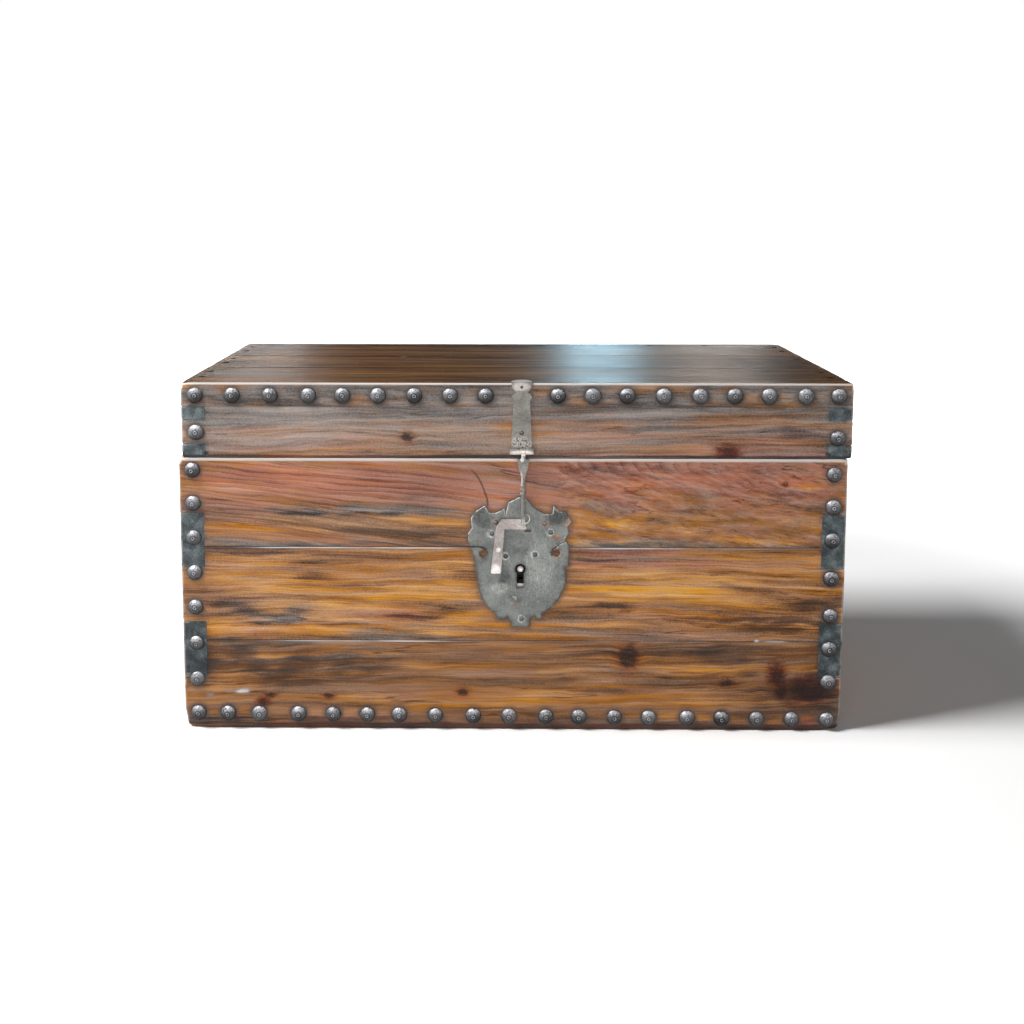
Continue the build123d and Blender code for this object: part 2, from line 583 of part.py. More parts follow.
# Hasp arm: eye, leaf, collars, rod, and a flat pad with a drawn wire loop at its foot
arm_axis = Axis(arm_plane.origin, -arm_plane.y_dir)
leaf_end = leaf_foot + leaf_neck
with BuildPart() as hasp_arm:
    with BuildSketch(Plane.YZ.offset(arm_x - arm_eye / 2)):
        with Locations((barrel_y, barrel_z)):
            Circle(barrel_radius)
    extrude(amount=arm_eye)
    with BuildSketch(arm_plane):
        with Locations((0, -leaf_top / 2 - leaf_shoulder / 2)):
            Rectangle(arm_eye, leaf_top + leaf_shoulder)
        with BuildLine():
            shoulder = Line((0, -leaf_top), (leaf_half, -leaf_top - leaf_shoulder))
            pulls = (leaf_half, -leaf_belly), (leaf_neck_half, -leaf_waist)
            flank = Bezier(shoulder @ 1, *pulls, (leaf_neck_half, -leaf_end))
            Polyline(flank @ 1, (0, -leaf_end), shoulder @ 0)
        make_face()
        mirror(about=Plane.YZ)
    extrude(amount=arm_sheet / 2, both=True)
    with BuildSketch(arm_plane):
        with Locations((0, -leaf_foot)):
            Rectangle(rod_radius, rod_end - leaf_foot, align=(Align.MIN, Align.MAX))
        for index in range(collars):
            with Locations((0, -leaf_foot - collar_gap - index * collar_step)):
                Rectangle(collar_radius, 2 * collar_half, align=(Align.MIN, Align.CENTER))
    revolve(axis=arm_axis)
    with BuildSketch(Plane.XZ.offset(-pad_back)):
        with Locations((arm_x, pad_z)):
            Circle(pad_radius)
            Rectangle(2 * pad_neck_half, 2 * pad_drop, align=(Align.CENTER, Align.MIN))
    extrude(amount=pad_sheet)
    loop_x, loop_z = arm_x + rod_radius - loop_wire, pad_z + loop_radius
    with BuildSketch(Plane.YZ.offset(loop_x)):
        with Locations((pad_back - pad_sheet / 2, loop_z + loop_radius)):
            Circle(loop_wire)
    revolve(axis=Axis((loop_x, 0, loop_z), (0, 1, 0)), revolution_arc=180)
    with BuildSketch(Plane.YZ.offset(arm_x - arm_eye / 2)):
        with Locations((barrel_y, barrel_z)):
            Circle(hasp_pin_radius + pin_fit)
    extrude(amount=arm_eye, mode=Mode.SUBTRACT)
    with BuildSketch(Plane.XZ.offset(-pad_back)):
        with Locations((arm_x, pad_z)):
            Circle(rivet_radius + nail_fit)
    extrude(amount=pad_sheet, mode=Mode.SUBTRACT)
finish(hasp_arm, "hasp_arm")

# Latch bar: an upper limb from the rivet to the left, and a lower limb that hangs from its end
limb_top = -bar_inner - bar_limb
with BuildPart() as latch_bar:
    with BuildSketch(Plane((arm_x, bar_back, pad_z), x_dir=(1, 0, 0), z_dir=(0, -1, 0))):
        with BuildLine():
            Polyline(
                (bar_past_rivet, -bar_below_rivet),
                (bar_past_rivet, -bar_nose_drop),
                (-bar_nose_run, bar_above_rivet),
                (limb_top + bar_corner_run, bar_above_rivet),
                (limb_top, bar_above_rivet - bar_corner_height),
                (-bar_inner - bar_lean - bar_foot, -bar_drop),
                (-bar_inner - bar_lean, -bar_drop),
                (-bar_inner, -bar_below_rivet),
                close=True,
            )
        make_face()
        Circle(rivet_radius + pin_fit, mode=Mode.SUBTRACT)
    extrude(amount=bar_sheet)
    lip_right = arm_x - bar_inner - bar_lean - bar_lip_inset
    lip = (lip_right - bar_foot + 2 * bar_lip_inset, lip_right)
    block(lip, (bar_front - bar_lip, bar_back), (pad_z - bar_drop, pad_z - bar_drop + bar_sheet))
    stud_x = arm_x - bar_inner - bar_lean / 2 - bar_limb / 2
    with BuildSketch(Plane.XZ.offset(-bar_back)):
        with Locations((stud_x, pad_z - stud_drop)):
            Circle(stud_radius)
    extrude(amount=bar_sheet, mode=Mode.SUBTRACT)
finish(latch_bar, "latch_bar")

with BuildPart() as stud:
    for plane, radius, height in (
        (Plane.XZ.offset(-bar_back), stud_radius - nail_fit, bar_sheet),
        (Plane.XZ.offset(-bar_front), stud_head, stud_sheet),
    ):
        with BuildSketch(plane):
            with Locations((stud_x, pad_z - stud_drop)):
                Circle(radius)
        extrude(amount=height)
finish(stud, "latch_bar_stud")

rivet_tail = bar_back + working_gap
with BuildPart() as rivet:
    for y, radius, height in (
        (pad_front, rivet_head, rivet_sheet),
        (rivet_tail, rivet_radius, rivet_tail - pad_front),
        (rivet_tail + rivet_sheet, rivet_head, rivet_sheet),
    ):
        with BuildSketch(Plane.XZ.offset(-y)):
            with Locations((arm_x, pad_z)):
                Circle(radius)
        extrude(amount=height)
finish(rivet, "latch_bar_rivet")


def plate_point(u, v):
    """A point of the plate's outline: u in half widths from its middle, v in heights from its foot."""
    return (plate_x + u * plate_width / 2, plate_foot + v * plate_height)


# Lock plate: a round-bottomed shield with a tab at its foot and a cut crown
left_bowl = [plate_point(u, v) for u, v in ((-0.49, 0.11), (-0.81, 0.296), (-0.86, 0.45), (-0.95, 0.6))]
right_bowl = [plate_point(u, v) for u, v in ((0.87, 0.467), (0.846, 0.29), (0.718, 0.2), (0.42, 0.105))]
left_crown = ((-1.01, 0.67), (-1.01, 0.727), (-0.94, 0.763), (-0.96, 0.838), (-0.88, 0.889), (-0.69, 0.935))
left_crown += ((-0.6, 0.88), (-0.47, 0.88), (-0.3, 0.913), (-0.29, 0.862), (-0.235, 0.959), (-0.02, 1.0))
right_crown = ((0.14, 0.977), (0.26, 0.918), (0.47, 0.872), (0.624, 0.873), (0.647, 0.932), (0.752, 0.891))
right_crown += ((0.882, 0.891), (0.99, 0.813), (0.92, 0.775), (0.942, 0.729), (0.86, 0.677), (0.945, 0.626))
right_crown += ((0.948, 0.477),)
foot_right = ((0.42, 0.072), (0.36, 0.06), (0.28, 0.086), (0.19, 0.062), (0.18, 0.0))
foot_left = ((-0.157, 0.0), (-0.176, 0.04), (-0.24, 0.075), (-0.32, 0.057), (-0.44, 0.062))
with BuildPart() as lock_plate:
    with BuildSketch(Plane.XZ.offset(-front)):
        with BuildLine():
            bowl = Spline(*left_bowl)
            crown_points = [plate_point(*point) for point in left_crown + right_crown]
            crown = Polyline(bowl @ 1, *crown_points, right_bowl[0])
            other_bowl = Spline(*right_bowl)
            Polyline(other_bowl @ 1, *[plate_point(*point) for point in foot_right + foot_left], bowl @ 0)
        make_face()
        with Locations(plate_point(0.71, 0.575), plate_point(-0.715, 0.567)):
            Circle(scroll_hole, mode=Mode.SUBTRACT)
        with Locations((key_x, key_z)):
            Circle(keyhole_radius, mode=Mode.SUBTRACT)
        with Locations((key_x, key_z - keyhole_drop / 2)):
            Rectangle(keyhole_slot, keyhole_drop, mode=Mode.SUBTRACT)
        with Locations((slot_x, slot_z)):
            Rectangle(slot_width, slot_height, mode=Mode.SUBTRACT)
    extrude(amount=plate_sheet)
    drill(tack_hole, plate_nail_places)
finish(lock_plate, "lock_plate")

# The lock's case: an iron tray nailed over the inside of the front boards, open towards them
with BuildPart() as lock_case:
    block((case_left, case_right), (inside_front, case_back), (case_low, case_high))
    inner_x = (case_left + case_wall, case_right - case_wall)
    inner_z = (case_low + case_wall, case_high - case_wall)
    block(inner_x, (inside_front, case_back - case_wall), inner_z, Mode.SUBTRACT)
    tab_y = (inside_front, inside_front + case_wall)
    block((case_left, case_right), tab_y, (case_low - case_tab, case_low))
    block((case_left, case_right), tab_y, (case_high, case_high + case_tab))
    for ledge_x in (
        (inner_x[0], talon_left - talon_room),
        (talon_left + talon_width + bolt_travel + talon_room, inner_x[1]),
    ):
        ledge_z = (bolt_low - bolt_fit - ledge_height, bolt_low - bolt_fit)
        block(ledge_x, (bolt_front, case_back - case_wall), ledge_z)
    drill(tack_hole, case_nails, from_back)
finish(lock_case, "lock_case")

with BuildPart() as lock_bolt:
    bolt_y = (bolt_front, bolt_front + bolt_thickness)
    block((bolt_left, bolt_left + bolt_length), bolt_y, (bolt_low, bolt_low + bolt_height))
    block((talon_left, talon_left + talon_width), bolt_y, (bolt_low - talon_drop, bolt_low))
finish(lock_bolt, "lock_bolt")

# A leaf spring that bears on the bolt from the case's roof
spring_low, spring_high = bolt_low + bolt_height + bolt_fit, case_high - case_wall
with BuildPart() as lock_spring:
    with BuildSketch(Plane.XZ.offset(-bolt_front)):
        with BuildLine():
            Polyline(
                (talon_left, spring_low),
                (inner_x[1] - 2 * spring_foot, spring_high - spring_sheet),
                (inner_x[1] - spring_foot, spring_high - spring_sheet),
                (inner_x[1] - spring_foot, spring_high),
                (inner_x[1] - 2 * spring_foot, spring_high),
                (talon_left, spring_low + spring_sheet),
                close=True,
            )
        make_face()
    extrude(amount=-spring_width)
finish(lock_spring, "lock_spring")

with BuildPart() as key_pin:
    with BuildSketch(Plane.XZ.offset(-(case_back - case_wall))):
        with Locations((key_x, key_z)):
            Circle(key_pin_radius)
    extrude(amount=case_back - case_wall - front + plate_sheet / 2)
finish(key_pin, "key_pin")

with BuildPart() as sill:
    sill_x = (key_x - sill_width / 2, key_x + sill_width / 2)
    sill_y = (front + sill_setback, front + sill_setback + sill_depth)
    block(sill_x, sill_y, (keyway_floor, keyway_floor + sill_height))
finish(sill, "keyway_ward")
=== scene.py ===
"""A plank chest: worn box-jointed boards, hammered dome nails and forged iron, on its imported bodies."""

import json
import random
from math import ceil, cos, pi, radians, sin, sqrt
from types import SimpleNamespace

import bpy
import numpy as np
from mathutils import Matrix, Vector, noise
from mathutils.geometry import delaunay_2d_cdt

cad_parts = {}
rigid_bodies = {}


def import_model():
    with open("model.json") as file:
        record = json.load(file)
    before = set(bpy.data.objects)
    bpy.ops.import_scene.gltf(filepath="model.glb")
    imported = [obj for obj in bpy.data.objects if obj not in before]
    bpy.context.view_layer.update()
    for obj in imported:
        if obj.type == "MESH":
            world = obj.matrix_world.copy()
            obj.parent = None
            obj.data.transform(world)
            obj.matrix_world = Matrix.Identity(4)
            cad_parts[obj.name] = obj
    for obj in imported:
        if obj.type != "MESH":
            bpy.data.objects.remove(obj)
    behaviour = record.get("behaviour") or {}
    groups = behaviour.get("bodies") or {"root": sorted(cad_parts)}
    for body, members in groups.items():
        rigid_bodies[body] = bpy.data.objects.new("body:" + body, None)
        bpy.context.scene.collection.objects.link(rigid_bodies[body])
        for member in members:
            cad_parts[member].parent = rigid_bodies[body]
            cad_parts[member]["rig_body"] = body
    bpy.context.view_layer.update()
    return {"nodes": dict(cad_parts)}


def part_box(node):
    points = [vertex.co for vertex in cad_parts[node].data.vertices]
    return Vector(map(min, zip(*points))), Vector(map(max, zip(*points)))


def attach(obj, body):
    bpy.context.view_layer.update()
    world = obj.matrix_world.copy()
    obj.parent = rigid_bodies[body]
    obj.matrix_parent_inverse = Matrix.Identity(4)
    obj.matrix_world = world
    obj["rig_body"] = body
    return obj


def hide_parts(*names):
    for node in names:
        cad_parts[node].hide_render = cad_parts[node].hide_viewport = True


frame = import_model()
MM = 0.001

# Edges and surfaces of the boards, in millimetres
EDGE_OFFSETS = (0.0, 0.4, 1.0, 1.9, 3.1, 5.0)  # grid lines beside each face of a board
JOINT_RADIUS = 0.55  # rounding of the edges at seams and fingers
ARRIS_RADIUS = 2.2  # of the chest's outer edges
CORNER_RADIUS = 5.0  # of its outer corners
RIM_RADIUS = 1.2  # of the rim's front edge, which hands have worn
UNDERSIDE_RADIUS = 0.4  # of the lid's lower edge
FOOT_RADIUS = 3.0  # of the body's lower edge
FOOT_CORNER = 11.0  # of its lower corners
CORNER_REACH = (9.0, 32.0)  # where the lower corners' rounding starts to fade, and where it ends
EDGE_BAND = 7.0  # the width of the strip that counts as an outer edge
CHIP_DEPTH = 1.1
RELIEF_DEPTH = 0.35  # how far the surface dips between its high places
BODY_FINGERS = 5
LID_SIDE_FINGER = 18.5

# Driving places, from the frame
body_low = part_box("front_board_lower")[0]
body_high = Vector((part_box("front_board_upper")[1].x, -body_low.y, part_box("front_board_upper")[1].z))
lid_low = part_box("lid_rail_front")[0]
lid_high = Vector((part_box("lid_rail_front")[1].x, -lid_low.y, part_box("lid_board_front")[1].z))
rail_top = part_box("lid_rail_front")[1].z
front = body_low.y
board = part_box("front_board_lower")[1].y - front
finger = body_high.z / BODY_FINGERS
BODY_SHELL, LID_SHELL = (body_low, body_high), (lid_low, lid_high)
FRONT_FINGERS = [(i * finger, (i + 1) * finger) for i in range(0, BODY_FINGERS, 2)]
SIDE_FINGERS = [(i * finger, (i + 1) * finger) for i in range(1, BODY_FINGERS, 2)]
lid_step = LID_SIDE_FINGER * MM
LID_FRONT_FINGERS = [(lid_low.z + lid_step, rail_top - lid_step)]
LID_SIDE_FINGERS = [(lid_low.z, lid_low.z + lid_step), (rail_top - lid_step, rail_top)]


# ---------------------------------------------------------------- small helpers


def srgb(red, green, blue):
    """A colour given as it is seen, 0 to 255, as the linear colour that a shader wants."""
    parts = []
    for value in (red, green, blue):
        share = value / 255
        parts.append(share / 12.92 if share <= 0.04045 else ((share + 0.055) / 1.055) ** 2.4)
    return (*parts, 1.0)


def wobble(points, size, seed):
    """Smooth noise, about -1 to 1. Its bumps are about size across: one size, or one for each axis."""
    shifted = np.asarray(points, float) / size + (seed * 7.31, seed * 3.17, seed * 5.93)
    return np.array([noise.noise(point) for point in shifted.tolist()]) * 1.6


def smooth(values, low, high):
    """0 below low, 1 above high, and a smooth step between them."""
    share = np.clip((values - low) / (high - low), 0, 1)
    return share * share * (3 - 2 * share)


def make_object(name, vertices, faces, material, attributes=None):
    """A smooth-shaded mesh object with float and vector values at its vertices."""
    mesh = bpy.data.meshes.new(name)
    mesh.from_pydata([tuple(v) for v in vertices], [], [tuple(f) for f in faces])
    for key, values in (attributes or {}).items():
        values = np.asarray(values, np.float32)
        kind = "FLOAT_VECTOR" if values.ndim == 2 else "FLOAT"
        layer = mesh.attributes.new(key, kind, "POINT")
        layer.data.foreach_set("vector" if values.ndim == 2 else "value", values.ravel())
    mesh.polygons.foreach_set("use_smooth", [True] * len(mesh.polygons))
    mesh.materials.append(material)
    mesh.update()
    made = bpy.data.objects.new(name, mesh)
    bpy.context.scene.collection.objects.link(made)
    return made


def dress(piece, node):
    """Puts a piece in the place of a CAD node: it rides on the same body."""
    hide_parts(node)
    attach(piece, frame["nodes"][node]["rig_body"])
    return piece


# ---------------------------------------------------------------- shader helper


class Shader:
    """A material whose nodes are made by short calls."""

    def __init__(self, name, roughness, metallic=0.0, specular=0.5):
        self.material = bpy.data.materials.new(name)
        self.material.use_nodes = True
        self.tree = self.material.node_tree
        self.surface = self.tree.nodes["Principled BSDF"]
        self.surface.inputs["Roughness"].default_value = roughness
        self.surface.inputs["Metallic"].default_value = metallic
        self.surface.inputs["Specular IOR Level"].default_value = specular

    def node(self, kind, inputs=(), output=0, **settings):
        made = self.tree.nodes.new(kind)
        for key, value in settings.items():
            setattr(made, key, value)
        for key, value in dict(inputs).items():
            self.put(made.inputs[key], value)
        return made.outputs[output]

    def put(self, socket, value):
        if isinstance(value, bpy.types.NodeSocket):
            self.tree.links.new(value, socket)
        else:
            socket.default_value = value

    def attribute(self, name, output="Vector"):
        return self.node("ShaderNodeAttribute", attribute_name=name, output=output)

    def place(self):
        return self.node("ShaderNodeTexCoord", output="Object")

    def split(self, vector):
        made = self.node("ShaderNodeSeparateXYZ", {0: vector}).node
        return [made.outputs[i] for i in range(3)]

    def join(self, x, y, z):
        return self.node("ShaderNodeCombineXYZ", {0: x, 1: y, 2: z})

    def math(self, operation, a, b=0.0):
        return self.node("ShaderNodeMath", {0: a, 1: b}, operation=operation)

    def add(self, *values):
        total = values[0]
        for value in values[1:]:
            total = self.math("ADD", total, value)
        return total

    def times(self, a, b):
        return self.math("MULTIPLY", a, b)

    def swing(self, value, weight):
        """How far a noise is from its middle, weighted."""
        return self.times(self.add(value, -0.5), weight)

    def scaled(self, vector, scale):
        return self.node("ShaderNodeVectorMath", {0: vector, 1: scale}, operation="MULTIPLY")

    def moved(self, vector, offset):
        return self.node("ShaderNodeVectorMath", {0: vector, 1: offset}, operation="ADD")

    def length(self, vector):
        return self.node("ShaderNodeVectorMath", {0: vector}, operation="LENGTH", output="Value")

    def noise(self, vector, scale, detail, rough=0.55, distortion=0.0):
        inputs = {"Vector": self.scaled(vector, scale), "Scale": 1.0, "Detail": detail}
        inputs |= {"Roughness": rough, "Distortion": distortion}
        return self.node("ShaderNodeTexNoise", inputs)

    def step(self, value, low, high):
        """0 below low and 1 above high, smooth between; high may be the smaller one."""
        inputs = {"Value": value, "From Min": low, "From Max": high}
        return self.node("ShaderNodeMapRange", inputs, interpolation_type="SMOOTHSTEP")

    def mix(self, factor, a, b, blend="MIX"):
        made = self.tree.nodes.new("ShaderNodeMix")
        made.data_type, made.blend_type = "RGBA", blend
        for index, value in ((0, factor), (6, a), (7, b)):
            self.put(made.inputs[index], value)
        return made.outputs[2]

    def ramp(self, factor, stops):
        made = self.tree.nodes.new("ShaderNodeValToRGB")
        self.put(made.inputs[0], factor)
        points = made.color_ramp.elements
        while len(points) < len(stops):
            points.new(0.5)
        for point, (place, colour) in zip(points, stops):
            point.position, point.color = place, srgb(*colour)
        return made.outputs[0]

    def bump(self, height, distance):
        inputs = {"Height": height, "Distance": distance, "Strength": 1.0}
        self.put(self.surface.inputs["Normal"], self.node("ShaderNodeBump", inputs))

    def finish(self, colour, roughness):
        self.put(self.surface.inputs["Base Color"], colour)
        self.put(self.surface.inputs["Roughness"], roughness)
        return self.material


# ---------------------------------------------------------------- wood

NATURAL = ((0.0, (50, 34, 22)), (0.25, (98, 66, 42)), (0.45, (145, 101, 65)), (0.6, (173, 123, 80)),
           (0.8, (199, 149, 102)), (1.0, (224, 181, 134)))
GOLDEN = ((0.0, (84, 50, 26)), (0.3, (146, 98, 56)), (0.5, (193, 138, 77)), (0.7, (215, 161, 92)),
          (1.0, (236, 193, 124)))
RUST = ((0.0, (58, 31, 25)), (0.3, (124, 75, 59)), (0.5, (163, 110, 91)), (0.7, (188, 135, 114)),
        (1.0, (214, 165, 142)))
WEATHERED = ((0.0, (40, 37, 36)), (0.3, (94, 88, 85)), (0.5, (134, 125, 120)), (0.7, (162, 151, 144)),
             (1.0, (204, 192, 184)))
SMOKED = ((0.2, (50, 44, 40)), (0.5, (94, 85, 77)), (0.8, (134, 124, 114)))
END_GRAIN = ((0.2, (44, 48, 50)), (0.45, (74, 82, 85)), (0.6, (98, 108, 111)), (0.85, (130, 134, 130)))
IRON_STAIN_AND_SHADOW, PORE, SCRATCHED = srgb(74, 70, 68), srgb(60, 42, 32), srgb(62, 40, 34)
HAZE, SCUFFED, SPECK = srgb(136, 134, 136), srgb(212, 205, 200), srgb(206, 198, 188)
# What the wood's colour is multiplied by
TOP_TINT = (0.255, 0.24, 0.165, 1)  # the lid's top is darker than its edges
KNOT_HALO, KNOT_CORE, KNOT_CRACK = (0.92, 0.68, 0.5, 1), (0.15, 0.19, 0.28, 1), (0.9, 0.95, 1, 1)
RED_HALO, RED_CORE = (0.6, 0.36, 0.27, 1), (0.3, 0.19, 0.17, 1)
RING_PITCH = 4.6  # millimetres between growth rings


def knot_field(s, place, knots):
    """How near a point is to each knot: 1 in its core, and 1 fading to 0 in the halo round it."""
    core = halo = 0.0
    for x, z, across, tall in knots:
        offset = s.moved(place, (-x * MM, -front, -z * MM))
        distance = s.length(s.scaled(offset, (1 / (across * MM), 1 / (4 * across * MM), 1 / (tall * MM))))
        ragged = s.add(distance, s.swing(s.noise(place, (75, 75, 170), 5, 0.65), 1.9))
        core = s.math("MAXIMUM", core, s.step(ragged, 1.3, 0.45))
        halo = s.math("MAXIMUM", halo, s.step(ragged, 2.1, 0.8))
    return core, halo


def crease(s, place):
    """A dark curved scratch on the front, part of a circle that falls towards the lock plate."""
    x, z, radius, low, high = SCRATCH
    offset = s.scaled(s.moved(place, (-x * MM, 0.0, -z * MM)), (1, 0, 1))
    wobbly = s.swing(s.noise(place, (90, 90, 90), 2), 3 * MM)
    near = s.math("ABSOLUTE", s.add(s.length(offset), wobbly, -radius * MM))
    across, depth, rise = s.split(place)
    run = s.times(s.step(rise, low * MM, (low + 12) * MM), s.step(rise, (high + 5) * MM, (high - 12) * MM))
    side = s.times(s.step(across, x * MM, (x + 20) * MM), s.step(depth, front + 4 * MM, front + 2 * MM))
    return s.times(s.times(run, side), s.step(near, 1.9 * MM, 0.5 * MM))


def veins(s, grain, bent):
    """Thin cracks that run with the grain, here and there."""
    near = s.math("ABSOLUTE", s.add(s.noise(bent, (4.5, 120, 80), 2, 0.5, 0.15), -0.5))
    return s.times(s.step(near, 0.026, 0.006), s.step(s.noise(grain, (7, 60, 60), 2), 0.48, 0.64))


def growth_rings(s, bent, cloud, strength):
    """The late wood of the growth rings round the pith, as dark lines."""
    _, across, depth = s.split(bent)
    radius = s.length(s.join(0.0, across, depth))
    turn = s.math("FRACT", s.add(s.times(radius, 1000 / RING_PITCH), s.times(cloud, 1.5)))
    return s.times(s.math("POWER", turn, 2.6), s.add(0.12, strength))


def tinted(s, amount, colour, tint):
    """The colour, multiplied by a tint as far as the amount says."""
    return s.mix(amount, colour, s.mix(1.0, colour, tint, "MULTIPLY"))


def knotted(s, colour, place, knots, red_knots):
    """The colour with the knots in it. Each kind is its core and its halo, from 0 to 1."""
    crackled = s.step(s.noise(place, (330, 330, 480), 2, 0.5), 0.60, 0.66)
    colour = tinted(s, knots[1], colour, KNOT_HALO)
    colour = tinted(s, red_knots[1], colour, RED_HALO)
    colour = tinted(s, knots[0], colour, s.mix(crackled, KNOT_CORE, KNOT_CRACK))
    return tinted(s, red_knots[0], colour, s.mix(crackled, RED_CORE, KNOT_CRACK))


def used(s, colour, grain, place, feather, scuff, arris):
    """The colour with what use leaves on it: the scratch, scuffs, worn edges and pale specks. Along the upper
    edges the pale worn band is partly a painted highlight.
    """
    colour = s.mix(s.times(crease(s, place), 0.75), colour, SCRATCHED)
    worn_and_highlit = s.add(scuff, s.times(feather, 0.3))
    colour = s.mix(s.times(s.step(worn_and_highlit, 0.1, 0.6), 0.5), colour, HAZE)
    colour = s.mix(s.times(s.step(worn_and_highlit, 0.5, 1.1), 0.9), colour, SCUFFED)
    bare = s.step(s.add(s.noise(grain, (26, 60, 60), 3), s.times(arris, 0.3)), 0.4, 0.56)
    colour = s.mix(s.times(s.times(arris, bare), 0.95), colour, SCUFFED)
    specks = s.step(s.noise(place, (300, 300, 300), 1), 0.765, 0.79)
    return s.mix(s.times(specks, 0.4), colour, SPECK)


def wood(name, knots=(), red_knots=(), roughness=0.45, specular=0.2, contrast=1.0, deep=0.0):
    """Board wood. The boards' vertices bring its grain, and how gold, dark, grey or worn it is there."""
    s = Shader(name, roughness, specular=specular)
    grain, place = s.attribute("grain"), s.place()
    gold, rust, dark = s.split(s.attribute("paint"))
    smoke, grey, scuff = s.split(s.attribute("shade"))
    iron_stain_and_shadow, end, top = s.split(s.attribute("age"))
    arris, seam, rings = s.split(s.attribute("edge"))
    knots, red_knots = knot_field(s, place, knots), knot_field(s, place, red_knots)

    # Noises drawn out along the grain, which bends round the knots
    warp = s.add(s.noise(grain, (4.5, 20, 20), 3), s.times(s.noise(grain, (24, 60, 60), 2), 0.16))
    bend = s.add(warp, -0.58, s.times(knots[1], 0.12), s.times(red_knots[1], 0.12))
    bent = s.moved(grain, s.join(0.0, s.times(bend, 0.022), 0.0))
    cloud = s.noise(bent, (2.6, 38, 28), 3, 0.5)
    band = s.noise(bent, (6, 105, 76), 4, 0.55, 0.2)
    hair = s.noise(bent, (13, 430, 320), 3, 0.6)
    grit = s.noise(place, (520, 520, 520), 3, 0.65)
    crack, ring = veins(s, grain, bent), growth_rings(s, bent, cloud, rings)

    # How far each kind of wood has taken over
    feather = s.add(s.swing(band, 1.1), s.swing(hair, 0.35), s.swing(grit, 0.3))
    golden = s.step(s.add(gold, feather, s.swing(s.noise(bent, (3.4, 80, 56), 4, 0.6), 1.8)), 0.15, 1.0)
    darker = s.step(s.add(dark, s.times(feather, -0.9), s.swing(cloud, -0.6)), 0.1, 1.2)
    ruddy = s.step(s.add(rust, s.swing(s.noise(bent, (3, 50, 36), 4, 0.6), 2.0)), 0.05, 0.95)
    ageing = s.swing(s.noise(bent, (3.5, 60, 44), 4, 0.6), 1.9)
    aged = s.step(s.add(grey, s.times(seam, 0.25), ageing), 0.1, 0.95)
    smoky = s.step(s.add(smoke, s.times(feather, -0.8)), 0.1, 1.1)

    value = s.add(s.swing(cloud, 0.65), s.swing(band, 0.62), s.swing(hair, 0.38), s.swing(grit, 0.44))
    value = s.add(0.5 - deep, s.times(value, contrast), s.times(ring, -0.34), s.times(darker, -0.36))
    value = s.add(value, s.times(crack, -0.22), s.times(seam, -0.1))

    colour = s.mix(ruddy, s.ramp(value, NATURAL), s.ramp(value, RUST))
    colour = s.mix(golden, colour, s.ramp(value, GOLDEN))
    colour = s.mix(aged, colour, s.ramp(value, WEATHERED))
    colour = s.mix(s.times(smoky, 0.72), colour, s.ramp(value, SMOKED))
    colour = s.mix(s.times(s.step(hair, 0.34, 0.22), 0.25), colour, PORE)
    fade = s.noise(bent, (6, 120, 84), 5, 0.62)
    vivid = s.add(1.0, s.swing(fade, 1.15), s.swing(grit, 0.5), s.swing(cloud, 0.4))
    colour = s.node("ShaderNodeHueSaturation", {"Saturation": vivid, "Color": colour})
    # Iron stain round the nails; round the lock plate the same dark is also painted shadow
    colour = s.mix(s.times(iron_stain_and_shadow, s.step(band, 0.25, 0.6)), colour, IRON_STAIN_AND_SHADOW)
    blotch = s.noise(place, (70, 70, 70), 4, 0.6)
    end_value = s.add(0.5, s.swing(blotch, 1.3), s.swing(grit, 0.6), s.times(dark, -0.22))
    colour = s.mix(end, colour, s.ramp(end_value, END_GRAIN))
    colour = knotted(s, tinted(s, top, colour, TOP_TINT), place, knots, red_knots)
    colour = used(s, colour, grain, place, feather, scuff, arris)

    s.bump(s.add(s.times(hair, 0.6), s.times(grit, 0.35), s.times(ring, -0.2), s.times(crack, -0.5)), 0.00028)
    rough = s.add(roughness - 0.16, s.times(band, 0.2), s.times(grit, 0.14), s.times(aged, 0.1))
    return s.finish(colour, rough)


